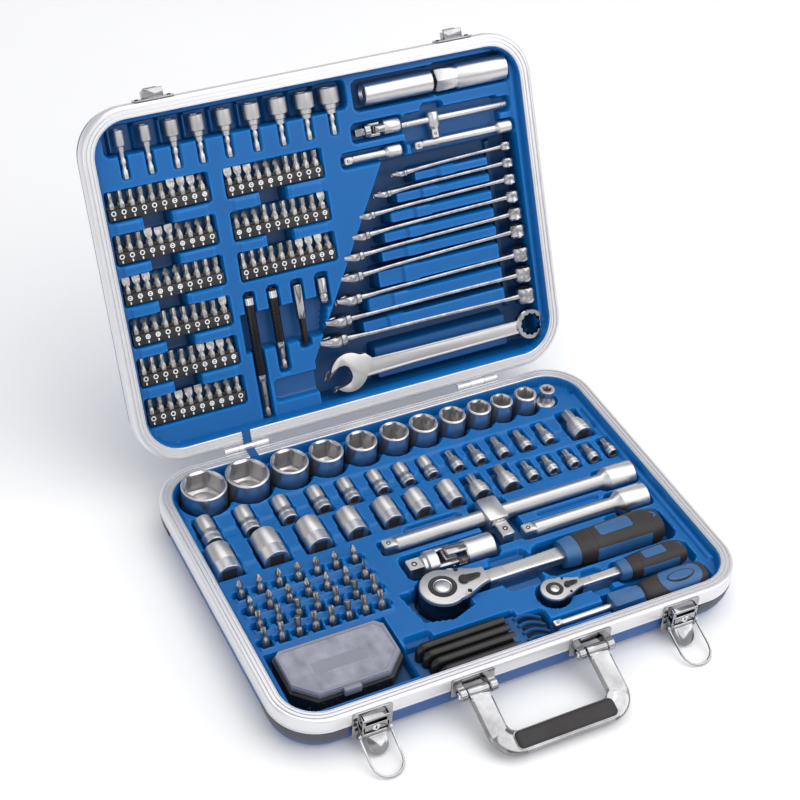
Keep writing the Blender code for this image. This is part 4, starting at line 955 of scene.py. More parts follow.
def extension_bar(made, x0, x1, y, z, r, end_r, end_len, half):
    """A bar along X: square end, round shaft, shouldered socket end."""
    run = x1 - x0
    corner = half * math.sqrt(2)
    hole = end_r * 0.84
    profile = [
        (0, 0), (corner - 1.2, 0, "square"), (corner, 1.0, "square"), (corner, half * 2.0, "square"),
        (r - 0.6, half * 2.0 + 1.6), (r, half * 2.0 + 2.6), (r, run - end_len - end_r * 0.55),
        (end_r - 0.5, run - end_len - 0.8), (end_r, run - end_len + 0.6), (end_r, run - 0.9),
        (end_r - 0.9, run), (hole + 0.6, run), (hole, run - 1.0, "square"), (hole, run - 12.0, "square"),
        (0, run - 12.0)
    ]
    made.turned(profile, "satin_chrome", aim("X", (x0, y, z), 45), 40)
    ball_mark(made, x0 + half, y, z + half, half * 0.42)


def cross_head(made, x, back, front, tip, z, r, half):
    """A sliding head: barrel with flats, a neck ring and a square end towards the handle."""
    made.block(x - r, x + r, front, back, z - r, z + r, "satin_chrome", r * 0.32, 2)
    made.turned(
        [(0, 0), (r * 0.82, 0), (r * 0.82, 1.0), (r * 0.7, 1.8), (0, 1.8)], "bright_band",
        aim("-Y", (x, front, z)), 24
    )
    made.block(x - half, x + half, tip, front + 1, z - half, z + half, "satin_chrome", 0.8)
    ball_mark(made, x, (tip + front) / 2 - 1, z + half, half * 0.42)


def universal_joint():
    y, z, pivot = -26.0, 25.2, -8.0
    made = Maker()
    corner = 6.2 * math.sqrt(2)
    profile = [
        (0, 0), (corner - 1.2, 0, "square"), (corner, 1.0, "square"), (corner, 12.5, "square"), (9.5, 13.5),
        (9.5, 16.0), (12.0, 17.5), (12.0, 26.0), (11.0, 27.0), (0, 27.0)
    ]
    made.turned(profile, "satin_chrome", aim("X", (-47.0, y, z), 45), 36)
    ball_mark(made, -41, y, z + 6.2, 2.6)
    for side in (-1, 1):
        low, high = sorted((side * 6.6, side * 11.8))
        made.block(-23, pivot + 5.4, y + low, y + high, z - 5.6, z + 5.6, "chrome", 1.8, 3)
        made.turned(
            [(0, 0), (2.4, 0), (2.4, 0.5), (0, 0.5)], "bright_band",
            aim("-Y" if side < 0 else "Y", (pivot, y + side * 11.6, z)), 16
        )
    made.done("universal_drive_end", "universal_drive", "chrome", "joint_drive_end")
    made = Maker()
    made.block(pivot - 5.8, pivot + 5.8, y - 5.8, y + 5.8, z - 5.8, z + 5.8, "satin_grey", 1.0, 2)
    for axis in ("Y", "Z"):
        at = (pivot, y - 10.4, z) if axis == "Y" else (pivot, y, z - 10.4)
        made.turned(
            [(0, 0), (2.2, 0), (2.4, 0.3), (2.4, 20.4), (2.2, 20.8), (0, 20.8)], "satin_grey", aim(axis, at), 16
        )
    made.done("universal_cross_block", "universal_cross", "chrome", "joint_cross")
    made = Maker()
    for side in (-1, 1):
        low, high = sorted((side * 6.6, side * 11.2))
        made.block(pivot - 4.6, 9, y - 5.6, y + 5.6, z + low, z + high, "chrome", 1.8, 3)
    hole, run = 8.6, 28.0
    profile = [
        (0, 0), (10.6, 0), (11.7, 1.4), (11.7, run - 1), (10.8, run), (hole + 0.7, run),
        (hole, run - 1, "square"), (hole, run - 13, "square"), (0, run - 13)
    ]
    made.turned(profile, "satin_chrome", aim("X", (6.0, y, z), 45), 36)
    made.done("universal_socket_end", "universal_socket", "chrome", "joint_socket_end")


class TOOLSET_OT_bars(bpy.types.Operator):
    """Builds the extensions, the sliding T-head and the universal joint in the base"""

    bl_idname = "toolset.bars"
    bl_label = "Extensions and joint"

    def execute(self, context):
        for word, x0, x1, y, z in (("long", -56.0, 194.0, 4.0, 28.0), ("short", 65.0, 190.0, -26.0, 27.0)):
            made = Maker()
            extension_bar(made, x0, x1, y, z, 7.0, 11.6, 27.0, 5.0)
            made.done(word + "_extension_bar", word + "_extension", "chrome", "extension_" + word)
        made = Maker()
        cross_head(made, 50.0, 18.8, -11.0, -28.0, 28.0, 10.2, 6.0)
        made.done("sliding_head_large", "sliding_t_head", "chrome", "t_head")
        universal_joint()
        made = Maker()
        place = aim("X", (146.0, -22.0, 22.0), 45)
        made.turned(
            [(0, 0), (4.6, 0), (5.0, 0.6), (5.0, 8), (3.2, 9), (3.2, 14), (0, 14.5)], "black_oxide", place, 20
        )
        made.done("step_adapter", "base", "chrome")
        return {"FINISHED"}


# ---------------------------------------------------------------- ratchets and spinner


def bar_ring(x, y, z, half_y, half_z, corner=0.35, steps=4):
    """A rounded cross-section across X."""
    r = min(half_y, half_z) * corner
    return [(x, y + py, z + pz) for py, pz in rounded(-half_y, half_y, -half_z, half_z, r, steps)]


def paint(made, first_face, choose):
    """Gives each face after the first ones the finish that choose(centre) names, if any."""
    for face in list(made.bm.faces)[first_face:]:
        finish = choose(face.calc_center_median())
        if finish:
            if finish not in made.finishes:
                made.finishes.append(finish)
            face.material_index = made.finishes.index(finish)


def soft_square(x, y, z, r, sides, power, flatten=1.0):
    """A ring across X, between a circle and a square."""
    ring = []
    for k in range(sides):
        a = math.tau * k / sides
        reach = r * (abs(math.cos(a)) ** power + abs(math.sin(a)) ** power) ** (-1 / power)
        ring.append((x, y + reach * math.cos(a), z + flatten * reach * math.sin(a)))
    return ring


def grip_shape(made, y, z, profile, flatten, marks):
    """A handle along X with a round section: marks are the ends of collar, neck, panel and the hole."""
    collar, neck, panel0, panel1, hole_x, hole_r, belly = marks
    fine = []
    for (x0, r0), (x1, r1) in zip(profile, profile[1:]):
        parts = max(1, round((x1 - x0) / 0.5))
        fine += [(x0 + (x1 - x0) * i / parts, i / parts, r0, r1) for i in range(parts)]
    xs = [f[0] for f in fine] + [profile[-1][0]]
    known_x, known_r = [p[0] for p in profile], [p[1] for p in profile]
    smooth_r = np.interp(xs, known_x, known_r)
    kernel = np.hanning(15)[1:-1] / np.hanning(15)[1:-1].sum()
    padded = np.concatenate([[smooth_r[0]] * 6, smooth_r, [smooth_r[-1]] * 6])
    smooth_r = np.convolve(padded, kernel, "valid")
    end = profile[-1][0]
    rings = []
    for x, r in zip(xs, smooth_r):
        left = max(0.0, end - x)
        close = math.sqrt(max(0.0, 1 - (max(0.0, 5 - left) / 5.4) ** 2)) if left < 5 else 1.0
        groove = 0.35 if abs(x - collar) < 0.8 or abs(x - neck) < 0.5 else 0.0
        rings.append(soft_square(x, y, z, (r - groove) * close, 150, 2.6, flatten))
    count = len(made.bm.faces)
    made.skin(rings, "black_rubber")

    def choose(at):
        dy, dz = at.y - y, at.z - z
        r = float(np.interp(at.x, xs, smooth_r))
        if at.x < collar:
            return "grip_blue"
        if at.x < neck:
            return None
        share = (at.x - neck) / (belly - neck)
        if 0 < share < 0.86 and dy / r < -0.52 - 0.5 * share**2.4 and dz / r < 0.5:
            return "grip_blue"
        mid, half_x, half_y = (panel0 + panel1) / 2, (panel1 - panel0) / 2, r * 0.44
        over_x, over_y = abs(at.x - mid) - half_x, abs(dy - r * 0.16) - half_y
        if dz > 0 and over_x < 0 and over_y < 0 and over_x + over_y < -half_y * 0.24:
            return "grip_blue"
        # A dark line round the blue panel: painted shade.
        if dz > 0 and over_x < 0.9 and over_y < 0.9 and over_x + over_y < 0.5:
            return "painted_slot_shade"
        return None

    paint(made, count, choose)
    bore, brim = hole_r * 0.72, hole_r * 1.3
    crest = z + flatten * float(np.interp(hole_x, xs, smooth_r))
    eyelet = [(bore, 0), (bore, 1.6), (hole_r, 1.9), (brim, 1.2), (brim, 0), (bore, 0)]
    made.turned(eyelet, "grip_blue", aim("Z", (hole_x, y + 1.0, crest - 1.9)), 32)
    # A dark disc in the hole of the eyelet: painted shade.
    floor = [(0, 0), (hole_r * 0.8, 0), (hole_r * 0.8, 0.7), (0, 0.7)]
    made.turned(floor, "painted_slot_shade", aim("Z", (hole_x, y + 1.0, crest - 1.0)), 24)


def ratchet(tag, x, y, r, top, thick, shank, grip_x, profile, square_low, square_half, flatten):
    """A ratchet lying square down: head, gear drum, release button, reverser, shank and grip."""
    body = "ratchet_" + tag
    shank_x1, shank_w, shank_t, shank_z = shank
    made = Maker()
    under = top - thick
    # teardrop head
    neck_x = x + r * 2.05
    neck_w = shank_w / 2 + r * 0.06
    tangent = 62
    head = arc(x, y, r, tangent, 360 - tangent, 40)
    ease = [
        (
            x + r * (0.47 + 0.23 * i), y - (r * 0.883 + (neck_w - r * 0.883) * float(smooth(i / 7)))
        ) for i in range(1, 8)
    ]
    mirror = [(px, 2 * y - py) for px, py in reversed(ease)]
    outline = head + ease + mirror
    made.slab(outline, under, top, "satin_grey", chamfer=r * 0.055, segments=3)
    # A band round the side of the head, near black: painted shade.
    skirt = [(x + (px - x) * 1.005, y + (py - y) * 1.01) for px, py in outline]
    made.slab(skirt, under + thick * 0.1, top - thick * 0.16, "ratchet_side_shade", chamfer=0.2)
    # shank with raised panel
    rings = []
    for share, w, t in (
        (0.0, 1.0, 1.18), (0.14, 0.96, 1.0), (0.5, 0.93, 0.92), (0.86, 1.04, 0.98), (1.0, 1.06, 1.0)
    ):
        px = neck_x - r * 0.35 + (shank_x1 - neck_x + r * 0.35) * share
        rings.append(bar_ring(px, y, shank_z, shank_w / 2 * w, shank_t / 2 * t, 0.42))
    made.skin(rings, "satin_chrome")
    px0, px1 = neck_x + (shank_x1 - neck_x) * 0.2, neck_x + (shank_x1 - neck_x) * 0.74
    panel = rounded(px0, px1, y - shank_w * 0.3, y + shank_w * 0.3, shank_w * 0.12)
    made.slab(panel, shank_z, shank_z + shank_t / 2 + 0.35, "satin_grey", chamfer=0.3)
    # ring round the gear, and the two cover screws
    drum = r * 0.62
    made.turned(
        [
            (drum * 0.5, top - 1), (drum * 0.5, top + 0.3), (drum - 0.6, top + 0.7), (drum, top + 0.1),
            (drum, top - 1), (drum * 0.5, top - 1)
        ],
        "black_plastic", aim("Z", (x, y, 0)), 48
    )
    for side in (-1, 1):
        spot = (x + r * 0.95, y + side * r * 0.66, top - 0.3)
        made.turned([(0, 0), (r * 0.105, 0), (r * 0.1, 0.55), (0, 0.55)], "black_oxide", aim("Z", spot), 16)
        # The hexagon hole of each screw is a dark hexagon on its head: painted shade.
        made.turned(
            [(0, 0), (r * 0.05, 0, "hex"), (r * 0.05, 0.75, "hex"), (0, 0.75)], "painted_slot_shade", aim("Z", spot), 12
        )
        arrow = [
            (x + r * 0.62, y + side * r * 0.86), (x + r * 0.86, y + side * r * 0.79),
            (x + r * 0.7, y + side * r * 0.72)
        ]
        made.slab(arrow[:: -side], top - 0.2, top + 0.12, "satin_grey")
    made.done(body + "_head", body, "satin_steel", body + "_body")
    made = Maker()
    mark = profile[-1][0]
    collar_x, neck_end, panel0, panel1, hole_x, belly = (
        grip_x + mark * s for s in (0.13, 0.29, 0.36, 0.68, 0.885, 0.9)
    )
    marks = (collar_x, neck_end, panel0, panel1, hole_x, r * 0.17, belly)
    shaped = [(grip_x + px, pr) for px, pr in profile]
    grip_shape(made, y, shank_z, shaped, flatten, marks)
    made.done(body + "_handle", body, "grip_blue", body + "_grip")
    # spindle with its square end and collar
    made = Maker()
    corner = square_half * math.sqrt(2)
    low = [
        (0, square_low), (corner - 1.0, square_low, "square"), (corner, square_low + 0.8, "square"),
        (corner, under - 0.8, "square"), (drum * 0.92, under - 0.5), (drum * 0.92, under + 0.5),
        (0, under + 0.5)
    ]
    made.turned(low, "chrome", aim("Z", (x, y, 0), 45), 40)
    collar = r * 0.37
    made.turned(
        [
            (collar * 0.95, top - 0.8), (collar * 0.95, top + 0.35), (collar + 0.5, top + 0.45),
            (collar + 0.5, top - 0.8), (collar * 0.95, top - 0.8)
        ],
        "bright_band", aim("Z", (x, y, 0)), 40
    )
    made.done(body + "_gear", body + "_spindle", "chrome", body + "_drive")
    made = Maker()
    rise = top + 0.9
    made.turned(
        [
            (0, top - 2), (collar * 0.88, top - 2), (collar * 0.88, rise - 0.5), (collar * 0.72, rise),
            (0, rise + 0.25)
        ],
        "satin_chrome", aim("Z", (x, y, 0)), 40
    )
    made.done(body + "_release_button", body + "_release", "chrome", body + "_button")
    # ribbed reverser
    made = Maker()
    rx = x + r * 1.0
    rr = r * 0.23
    made.turned(
        [(0, top), (rr, top), (rr, top + 1.7), (rr - 0.5, top + 2.3), (0, top + 2.4)], "black_plastic",
        aim("Z", (rx, y, 0)), 32
    )
    reach = r * 0.72
    tail = [
        (rx, y - rr * 0.9), (rx + reach, y - rr * 0.42), (rx + reach + rr * 0.35, y),
        (rx + reach, y + rr * 0.42), (rx, y + rr * 0.9)
    ]
    made.slab(tail, top + 0.2, top + 1.9, "black_plastic", chamfer=0.3)
    for i in range(5):
        at = rx + rr * 0.3 + reach * 0.16 * i
        half = rr * (0.75 - 0.07 * i)
        made.block(at, at + reach * 0.07, y - half, y + half, top + 1.6, top + 2.4, "black_plastic", 0.1)
    made.done(body + "_direction_lever", body + "_switch", "black_plastic", body + "_reverser")


def spinner():
    """The bit driver handle: square-holed shaft, faceted collar and rubber grip."""
    y, z = -131.0, 25.0
    made = Maker()
    corner = 2.9 * math.sqrt(2)
    shaft = [
        (0, 0), (corner - 0.6, 0, "square"), (corner, 0.6, "square"), (corner, 7.0, "square"), (3.2, 8.0),
        (3.2, 75), (0, 75)
    ]
    made.turned(shaft, "satin_chrome", aim("X", (37.0, y, z), 45), 32)
    ball_mark(made, 40.4, y, z + 2.9, 1.3)
    made.done("spinner_drive_shaft", "base", "chrome", "spinner_shaft")
    made = Maker()
    made.turned(
        [
            (0, 92), (10.0, 92, "square"), (11.3, 93.5, "square"), (11.3, 112, "square"), (10.2, 120),
            (8.5, 122), (0, 122)
        ],
        "grip_blue", aim("X", (0, y, z), 45), 40
    )
    count = len(made.bm.faces)
    profile = (
        (121, 8.5), (123, 10.6), (126, 11.5), (133, 12.6), (140, 13.2), (150, 13.6), (160, 13.7), (170, 13.5),
        (178, 13.0), (183, 11.8), (186, 9.0), (187.4, 4.5)
    )
    xs = np.arange(121, 187.41, 0.6)
    rs = np.interp(xs, [p[0] for p in profile], [p[1] for p in profile])
    made.skin([soft_square(px, y, z, pr, 120, 2.4) for px, pr in zip(xs, rs)], "black_rubber")

    def choose(at):
        dy, dz = (at.y - y) / 13.6, (at.z - z) / 13.6
        if 138 < at.x < 178 and abs(math.atan2(dy + 0.15, max(dz, -1))) < 1.25 * math.sqrt(
            max(0, 1 - ((at.x - 158) / 20) ** 2)
        ):
            return "grip_blue"
        if at.x > 140 and dz < -0.2 + 0.01 * (at.x - 140):
            return "grip_blue"
        return None

    paint(made, count, choose)
    turns = [math.tau * k / 40 for k in range(40)]
    for long, wide, top, finish, chamfer in (
        (13.5, 5.6, 13.9, "black_plastic", 0.5), (12.2, 4.6, 14.2, "grip_blue", 0.6)
    ):
        lens = [(158 + long * math.cos(a), y - 2 + wide * math.sin(a)) for a in turns]
        made.slab(lens, z + 8, z + top, finish, chamfer=chamfer, segments=2)
    made.done("spinner_handle", "base", "grip_blue", "spinner_grip")


class TOOLSET_OT_drivers(bpy.types.Operator):
    """Builds both ratchets and the spinner handle"""

    bl_idname = "toolset.drivers"
    bl_label = "Ratchets and spinner"

    def execute(self, context):
        large = ((0, 12.0), (8, 13.2), (26, 15.2), (56, 16.2), (84, 17.0), (97, 14.5), (102, 9.0))
        small = ((0, 8.0), (5, 9.0), (18, 10.6), (38, 11.4), (56, 11.6), (65, 9.5), (68, 6.0))
        ratchet("large", -33.0, -63.0, 20.0, 36.0, 20.0, (96, 14, 9, 27.6), 82, large, 5.0, 6.2, 0.86)
        ratchet("small", 53.0, -102.0, 12.2, 35.0, 12.0, (126, 9, 6, 29.96), 116, small, 15.0, 3.15, 0.86)
        spinner()
        return {"FINISHED"}


# ---------------------------------------------------------------- bit box, keys


def box_outline(grow=0.0):
    cut = 17.0
    x0, x1, y0, y1 = -193.0 - grow, -94.0 + grow, -130.0 - grow, -72.0 + grow
    return [
        (x1 - cut, y0), (x1, y0 + cut), (x1, y1 - cut * 0.35), (x1 - cut * 0.35, y1), (x0 + 4, y1),
        (x0, y1 - 4), (x0, y0 + cut), (x0 + cut, y0)
    ]


def bit_box():
    made = Maker()
    made.slab(box_outline(), 14.3, 29.0, "black_plastic", chamfer=1.2, segments=2)
    made.slab(box_outline(0.4), 26.4, 28.8, "black_plastic", chamfer=0.3)
    for i in range(7):
        made.block(-185 + 12 * i, -183 + 12 * i, -130.6, -129.8, 16, 26, "black_plastic", 0.2)
    made.done("bit_box_tray", "bit_box", "black_plastic", "bit_box_base")
    made = Maker()
    made.slab(box_outline(-1.6), 29.1, 34.4, "frosted_cover", chamfer=0.9, segments=2)
    made.slab(box_outline(-4.4), 34.0, 34.9, "cover_window", chamfer=0.3)
    outer, inner = box_outline(-2.2), box_outline(-4.6)
    rings = [
        [(px, py, 34.2) for px, py in outer], [(px, py, 35.4) for px, py in outer],
        [(px, py, 35.4) for px, py in inner], [(px, py, 34.2) for px, py in inner]
    ]
    made.skin(rings, "frosted_cover", closed=True)
    made.slab(rounded(-168, -122, -108, -96, 0.8, 2), 34.7, 35.15, "frosted_cover", chamfer=0.15)
    made.block(-154, -139, -132.2, -126.4, 27.0, 34.0, "frosted_cover", 0.6, 2)
    made.done("bit_box_cover_frosted", "bit_box_cover", "clear_lid", "bit_box_lid")


KEY_RODS = (
    (-79.0, -1.0, -111.5, 28.6, 3.9),
    (-76.5, 0.0, -119.6, 27.2, 4.1),
    (-73.5, 1.0, -128.2, 25.8, 4.3),
    (-70.0, 2.0, -137.4, 24.4, 4.4)
)
KEY_BEND = 6.0


def hex_keys():
    """Folded hexagon keys lying in steps, and the finned block that held them."""
    for number, (x0, x1, y, z, r) in enumerate(KEY_RODS, 1):
        path = [(x0, y - 4.0, z - 14.0), (x0, y - 1.5, z - KEY_BEND)]
        for a in (0.5, 1.0, 1.35):
            along = KEY_BEND * (1 - math.cos(a))
            path.append((x0 + along, y - 1.5 * (1 - math.sin(a)), z - KEY_BEND + KEY_BEND * math.sin(a)))
        path += [(x0 + KEY_BEND + 2, y, z), (x1, y, z)]
        made = Maker()
        made.tube(path, r, "black_oxide", 12)
        made.done("hex_key_%d" % number, "base", "black_plastic")
    made = Maker()
    made.block(-3, 9, -144, -110, 20, 28.6, "key_blue", 0.8, 2)
    for i in range(4):
        y = -114.0 - 8.4 * i
        path = []
        for k in range(9):
            t = k / 8
            path.append((7 + 24 * t, y - 1 + 4.6 * math.sin(math.pi * t) - 3.4 * t, 27.0 - 2.4 * t))
        made.tube(path, [2.2 - 1.0 * k / 8 for k in range(9)], "key_blue", 10, flat=1.6)
    # A dark block under the fins: painted shade.
    made.block(4, 34, -144, -110, 17, 20.0, "painted_slot_shade", 0.5)
    made.done("key_holder", "base", "grip_blue")


class TOOLSET_OT_boxes(bpy.types.Operator):
    """Builds the bit box with its frosted cover, the hexagon keys and their holder"""

    bl_idname = "toolset.boxes"
    bl_label = "Bit box and keys"

    def execute(self, context):
        bit_box()
        hex_keys()
        return {"FINISHED"}


# ---------------------------------------------------------------- lid tools


def nut_driver(number, x, r):
    """A magnetic nut driver: hexagon socket head, stepped neck, waisted hexagon shank."""
    z = 24.5
    low, high = 95.5, 138.5
    run = high - low
    hexagon = 3.2
    profile = [
        (0, 0), (hexagon - 0.5, 0, "hex"), (hexagon, 0.6, "hex"), (hexagon, 7.5, "hex"), (hexagon - 1.1, 9.0),
        (hexagon - 1.1, 12.5), (hexagon - 0.1, 13.6, "hex"), (hexagon - 0.1, 17.0, "hex"),
        (hexagon - 1.0, 18.0), (hexagon - 1.0, 19.0), (r * 0.5, 19.6), (r * 0.52, 23.4), (r * 0.64, 24.2),
        (r * 0.66, run - 15.0), (r - 0.3, run - 14.0), (r, run - 13.2), (r, run - 0.7), (r - 0.6, run),
        (r * 0.82, run), (r * 0.8, run - 0.8, "hex"), (r * 0.8, run - 8, "hex"), (0, run - 8)
    ]
    made = Maker().turned(profile, "satin_grey", aim("Y", (x, low, z)), 24)
    made.done("nut_driver_%d" % number, "lid", "satin_steel")


RING_PROFILE = [(2.3, 0), (2.3, 0.32), (1.35, 0.32), (1.35, 0), (2.3, 0)]
LID_TIPS = ("cross", "star", "hex", "flat")


def bit_strip(number, cx, v):
    """Ten bits in a labelled rubber strip, tips towards the free edge."""
    made = Maker()
    half, z = 46.0, 22.5
    made.block(cx - half, cx + half, v - 11.5, v - 1.5, 17.0, z + 4.9, "black_plastic", 0.7, 2)
    made.block(cx - half, cx + half, v - 1.8, v + 1.2, 17.0, z + 2.0, "black_plastic", 0.4)
    for i in range(10):
        x = cx - half + 4.6 + 9.2 * i
        tip = LID_TIPS[(number + i // 3) % 4]
        short = 21.5 + 0.5 * ((i + number) % 3)
        bit_shape(made, tip, aim("Y", (x, v - 8.5, z)), short, 12)
        top = z + 4.9
        made.turned(RING_PROFILE, "label_white", aim("Z", (x, v - 4.9, top)), 16)
        if tip in ("cross", "flat"):
            made.block(x - 1.5, x + 1.5, v - 5.25, v - 4.55, top, top + 0.3, "label_white", 0.05)
        if tip == "cross":
            made.block(x - 0.35, x + 0.35, v - 6.4, v - 3.4, top, top + 0.32, "label_white", 0.05)
        made.block(x - 0.6, x + 0.6, v - 10.6, v - 8.4, top, top + 0.3, "label_white", 0.05)
    made.done("bit_strip_%d" % number, "lid", "black_plastic")


def bit_holders():
    z = 25.0
    # two long sleeves with a hexagon shank towards the hinge
    for number, (x, head, sleeve, low, r) in enumerate(
        ((-88.0, -29.0, -104.0, -143.0, 4.4), (-65.0, -27.5, -78.0, -103.0, 4.3)), 1
    ):
        run = head - sleeve
        made = Maker()
        made.turned(
            [
                (0, 0), (r - 0.6, 0), (r, 0.8), (r, run - 10), (r + 0.2, run - 9.6), (r + 0.2, run - 0.5),
                (r - 0.4, run), (2.9, run), (2.8, run - 1, "hex"), (2.8, run - 9, "hex"), (0, run - 9)
            ],
            "black_oxide", aim("Y", (x, sleeve, z)), 28
        )
        made.turned(
            [(r, 0), (r + 0.25, 0.3), (r + 0.25, 6.5), (r, 6.8), (r, 0)], "bright_band",
            aim("Y", (x, head - 8.6, z)), 28
        )
        made.turned(
            [(0, 0), (r - 0.5, 0), (r - 0.2, 0.5), (r - 0.2, 6), (0, 6)], "chrome",
            aim("Y", (x, sleeve - 5.6, z)), 28
        )
        shank = sleeve - 5 - low
        made.turned(
            [
                (0, 0), (2.5, 0, "hex"), (3.1, 0.8, "hex"), (3.1, 6.5, "hex"), (2.2, 7.6), (2.2, 10),
                (3.1, 11, "hex"), (3.1, shank, "hex"), (0, shank)
            ],
            "bit_steel", aim("Y", (x, low, z)), 24
        )
        made.done("bit_holder_%d" % number, "lid", "chrome")
    made = Maker()
    made.turned(
        [(0, 0), (4.4, 0), (4.7, 0.6), (4.7, 31), (4.2, 31.6), (3.1, 31.6), (3.0, 24), (0, 24)], "chrome",
        aim("Y", (-41.0, -61.0, z)), 32
    )
    made.turned(
        [(0, 0), (2.8, 0, "hex"), (3.4, 0.8, "hex"), (3.4, 25, "hex"), (0, 25)], "black_oxide",
        aim("Y", (-41.0, -85.5, z)), 24
    )
    made.done("bit_holder_3", "lid", "chrome")
    made = Maker()
    made.turned(
        [
            (0, 0), (3.9, 0), (4.5, 0.8), (4.5, 7), (4.1, 7.6), (4.1, 9), (4.7, 9.6), (4.7, 22.5), (4.2, 23.2),
            (3.2, 23.2), (3.1, 17), (0, 17)
        ],
        "chrome", aim("Y", (-17.0, -52.0, z)), 32
    )
    made.done("bit_holder_4", "lid", "chrome")


def plug_sockets():
    made = Maker()
    made.turned(
        [
            (0, 3), (6.4, 3, "hex"), (7.6, 0.2), (9.6, 0), (10.4, 0.8), (10.5, 67.2), (9.7, 68), (7.4, 68),
            (7.2, 60, "square"), (0, 60)
        ],
        "satin_chrome", aim("X", (50.0, 125.5, 24.5)), 40
    )
    made.done("plug_socket_small", "lid", "satin_steel")
    made = Maker()
    made.turned(
        [
            (0, 4), (7.0, 4), (10.6, 0, "hex"), (11.4, 1.0, "hex"), (11.6, 17.0, "hex"), (10.8, 20.0),
            (10.8, 21.0), (12.0, 23.4), (12.0, 72.0), (11.2, 72.8), (8.4, 72.8), (8.2, 62, "hex"), (0, 62)
        ],
        "satin_chrome", aim("X", (121.0, 125.0, 24.5)), 42
    )
    made.done("plug_socket_large", "lid", "satin_steel")


def small_joint():
    x, v, z = 37.0, 93.0, 25.5
    made = Maker()
    made.turned(
        [
            (0, 0), (3.7, 0, "square"), (4.4, 0.7, "square"), (4.4, 7.0, "square"), (4.2, 8.0), (6.2, 9.0),
            (6.4, 14), (0, 14)
        ],
        "chrome", aim("X", (x, v, z), 45), 32
    )
    for side in (-1, 1):
        low, high = sorted((side * 3.2, side * 6.2))
        made.block(x + 12, x + 24, v + low, v + high, z - 3, z + 3, "chrome", 0.9, 2)
        made.block(x + 18, x + 29, v - 3, v + 3, z + low, z + high, "chrome", 0.9, 2)
    made.block(x + 17.5, x + 23.5, v - 3, v + 3, z - 3, z + 3, "satin_grey", 0.6)
    made.turned(
        [(0, 0), (6.2, 0), (6.8, 0.8), (6.8, 15), (6.2, 16), (4.6, 16), (4.5, 8, "square"), (0, 8)],
        "satin_chrome", aim("X", (x + 27.5, v, z), 45), 32
    )
    made.done("small_joint", "lid", "chrome")


def t_bar():
    v, z = 91.0, 26.0
    made = Maker()
    made.turned(
        [(0, 0), (2.5, 0), (3.0, 0.8), (3.0, 107.2), (2.5, 108), (0, 108)], "satin_chrome",
        aim("X", (83.0, v, z)), 24
    )
    for end in (88.0, 186.0):
        made.turned([(0, -0.4), (1.1, 0), (0.8, 0.6), (0, 0.8)], "bright_band", aim("Z", (end, v, z + 3.0)), 12)
    made.done("t_bar_round", "t_bar", "chrome", "t_bar_rod")
    made = Maker()
    made.turned(
        [(0, 0), (5.2, 0), (5.9, 0.9), (5.9, 12.5), (5.4, 13.5), (4.2, 16), (0, 16)], "satin_chrome",
        aim("-Y", (115.0, 98.0, z)), 36
    )
    made.block(111.8, 118.2, 74.0, 83.5, z - 3.2, z + 3.2, "satin_chrome", 0.5)
    ball_mark(made, 115.0, 78.0, z + 3.2, 1.4)
    made.done("t_bar_sliding_head", "t_bar_slider", "chrome", "t_bar_head")


def slim_extensions():
    for number, (x0, x1) in enumerate(((94.0, 193.0), (23.0, 79.0)), 1):
        made = Maker()
        extension_bar(made, x0, x1, 70.0, 24.8, 3.5, 6.0, 13.0, 3.1)
        made.done("slim_extension_%d" % number, "lid", "chrome")


def edge_wrench(number, ring_x, ring_v, jaw_x, jaw_v, size):
    """A combination wrench standing on its edge: thin bent shank, ring barrel, forked jaw."""
    z = 23.0
    half = size * 0.5
    run = ring_x - jaw_x
    made = Maker()
    thin = 1.15 + size * 0.05
    tall = size * 0.42
    rings = []
    total = 40
    for i in range(total + 1):
        share = i / total
        x = jaw_x + half + (run - 1.3 * half) * share
        start = float(smooth((share - 0.06) / 0.16))
        v = jaw_v - 0.2 * size + (ring_v + 0.28 * size - jaw_v + 0.2 * size) * (0.12 * start + 0.88 * share)
        wave = math.sin(math.pi * share) * 0.35
        w = thin * (1 + 0.7 * math.exp(-((share / 0.1) ** 2)) + 0.5 * math.exp(-(((1 - share) / 0.08) ** 2)))
        rings.append([(x, v + wave + py, z + pz) for py, pz in rounded(-w, w, -tall, tall, w * 0.6, 3)])
    made.skin(rings, "wrench_chrome")
    # ring end: a short barrel with a waist, its hole across
    barrel = size * 0.72 + 1.9
    deep = half * 1.05 + 0.6
    made.turned(
        [
            (barrel * 0.62, -deep * 0.9, "points"), (barrel - 0.9, -deep), (barrel, -deep * 0.72),
            (barrel * 0.93, -deep * 0.15), (barrel * 0.93, deep * 0.15), (barrel, deep * 0.72),
            (barrel - 0.9, deep), (barrel * 0.62, deep * 0.9, "points"), (barrel * 0.6, 0, "points"),
            (barrel * 0.62, -deep * 0.9, "points")
        ],
        "wrench_chrome", aim("Y", (ring_x - barrel * 0.1, ring_v + 0.28 * size, z)), 36
    )
    # open end: two prongs seen from their edge
    reach = size * 1.5 + 3
    for lift in (-1, 1):
        rings = []
        for share in (0.0, 0.2, 0.4, 0.6, 0.8, 0.93, 1.0):
            x = jaw_x + half * 1.6 - reach * share
            w = half * (0.95 - 0.55 * share**1.5)
            hz = size * 0.34 * (1 - 0.5 * share**2)
            cz = z + lift * size * (0.30 + 0.42 * math.sin(math.pi * min(1, share * 1.1)) ** 0.8)
            v = jaw_v - 0.2 * size + lift * half * 0.25 * share
            rings.append([(x, v + py, cz + pz) for py, pz in rounded(-w, w, -hz, hz, w * 0.55, 3)])
        made.skin(rings, "wrench_chrome")
    low_v, wide = jaw_v - 0.2 * size, half * 0.9
    made.block(
        jaw_x + half * 0.4, jaw_x + half * 2.6, low_v - wide, low_v + wide, z - size * 0.62, z + size * 0.62,
        "wrench_chrome", half * 0.5, 3
    )
    made.done("edge_wrench_%d" % number, "lid", "chrome")


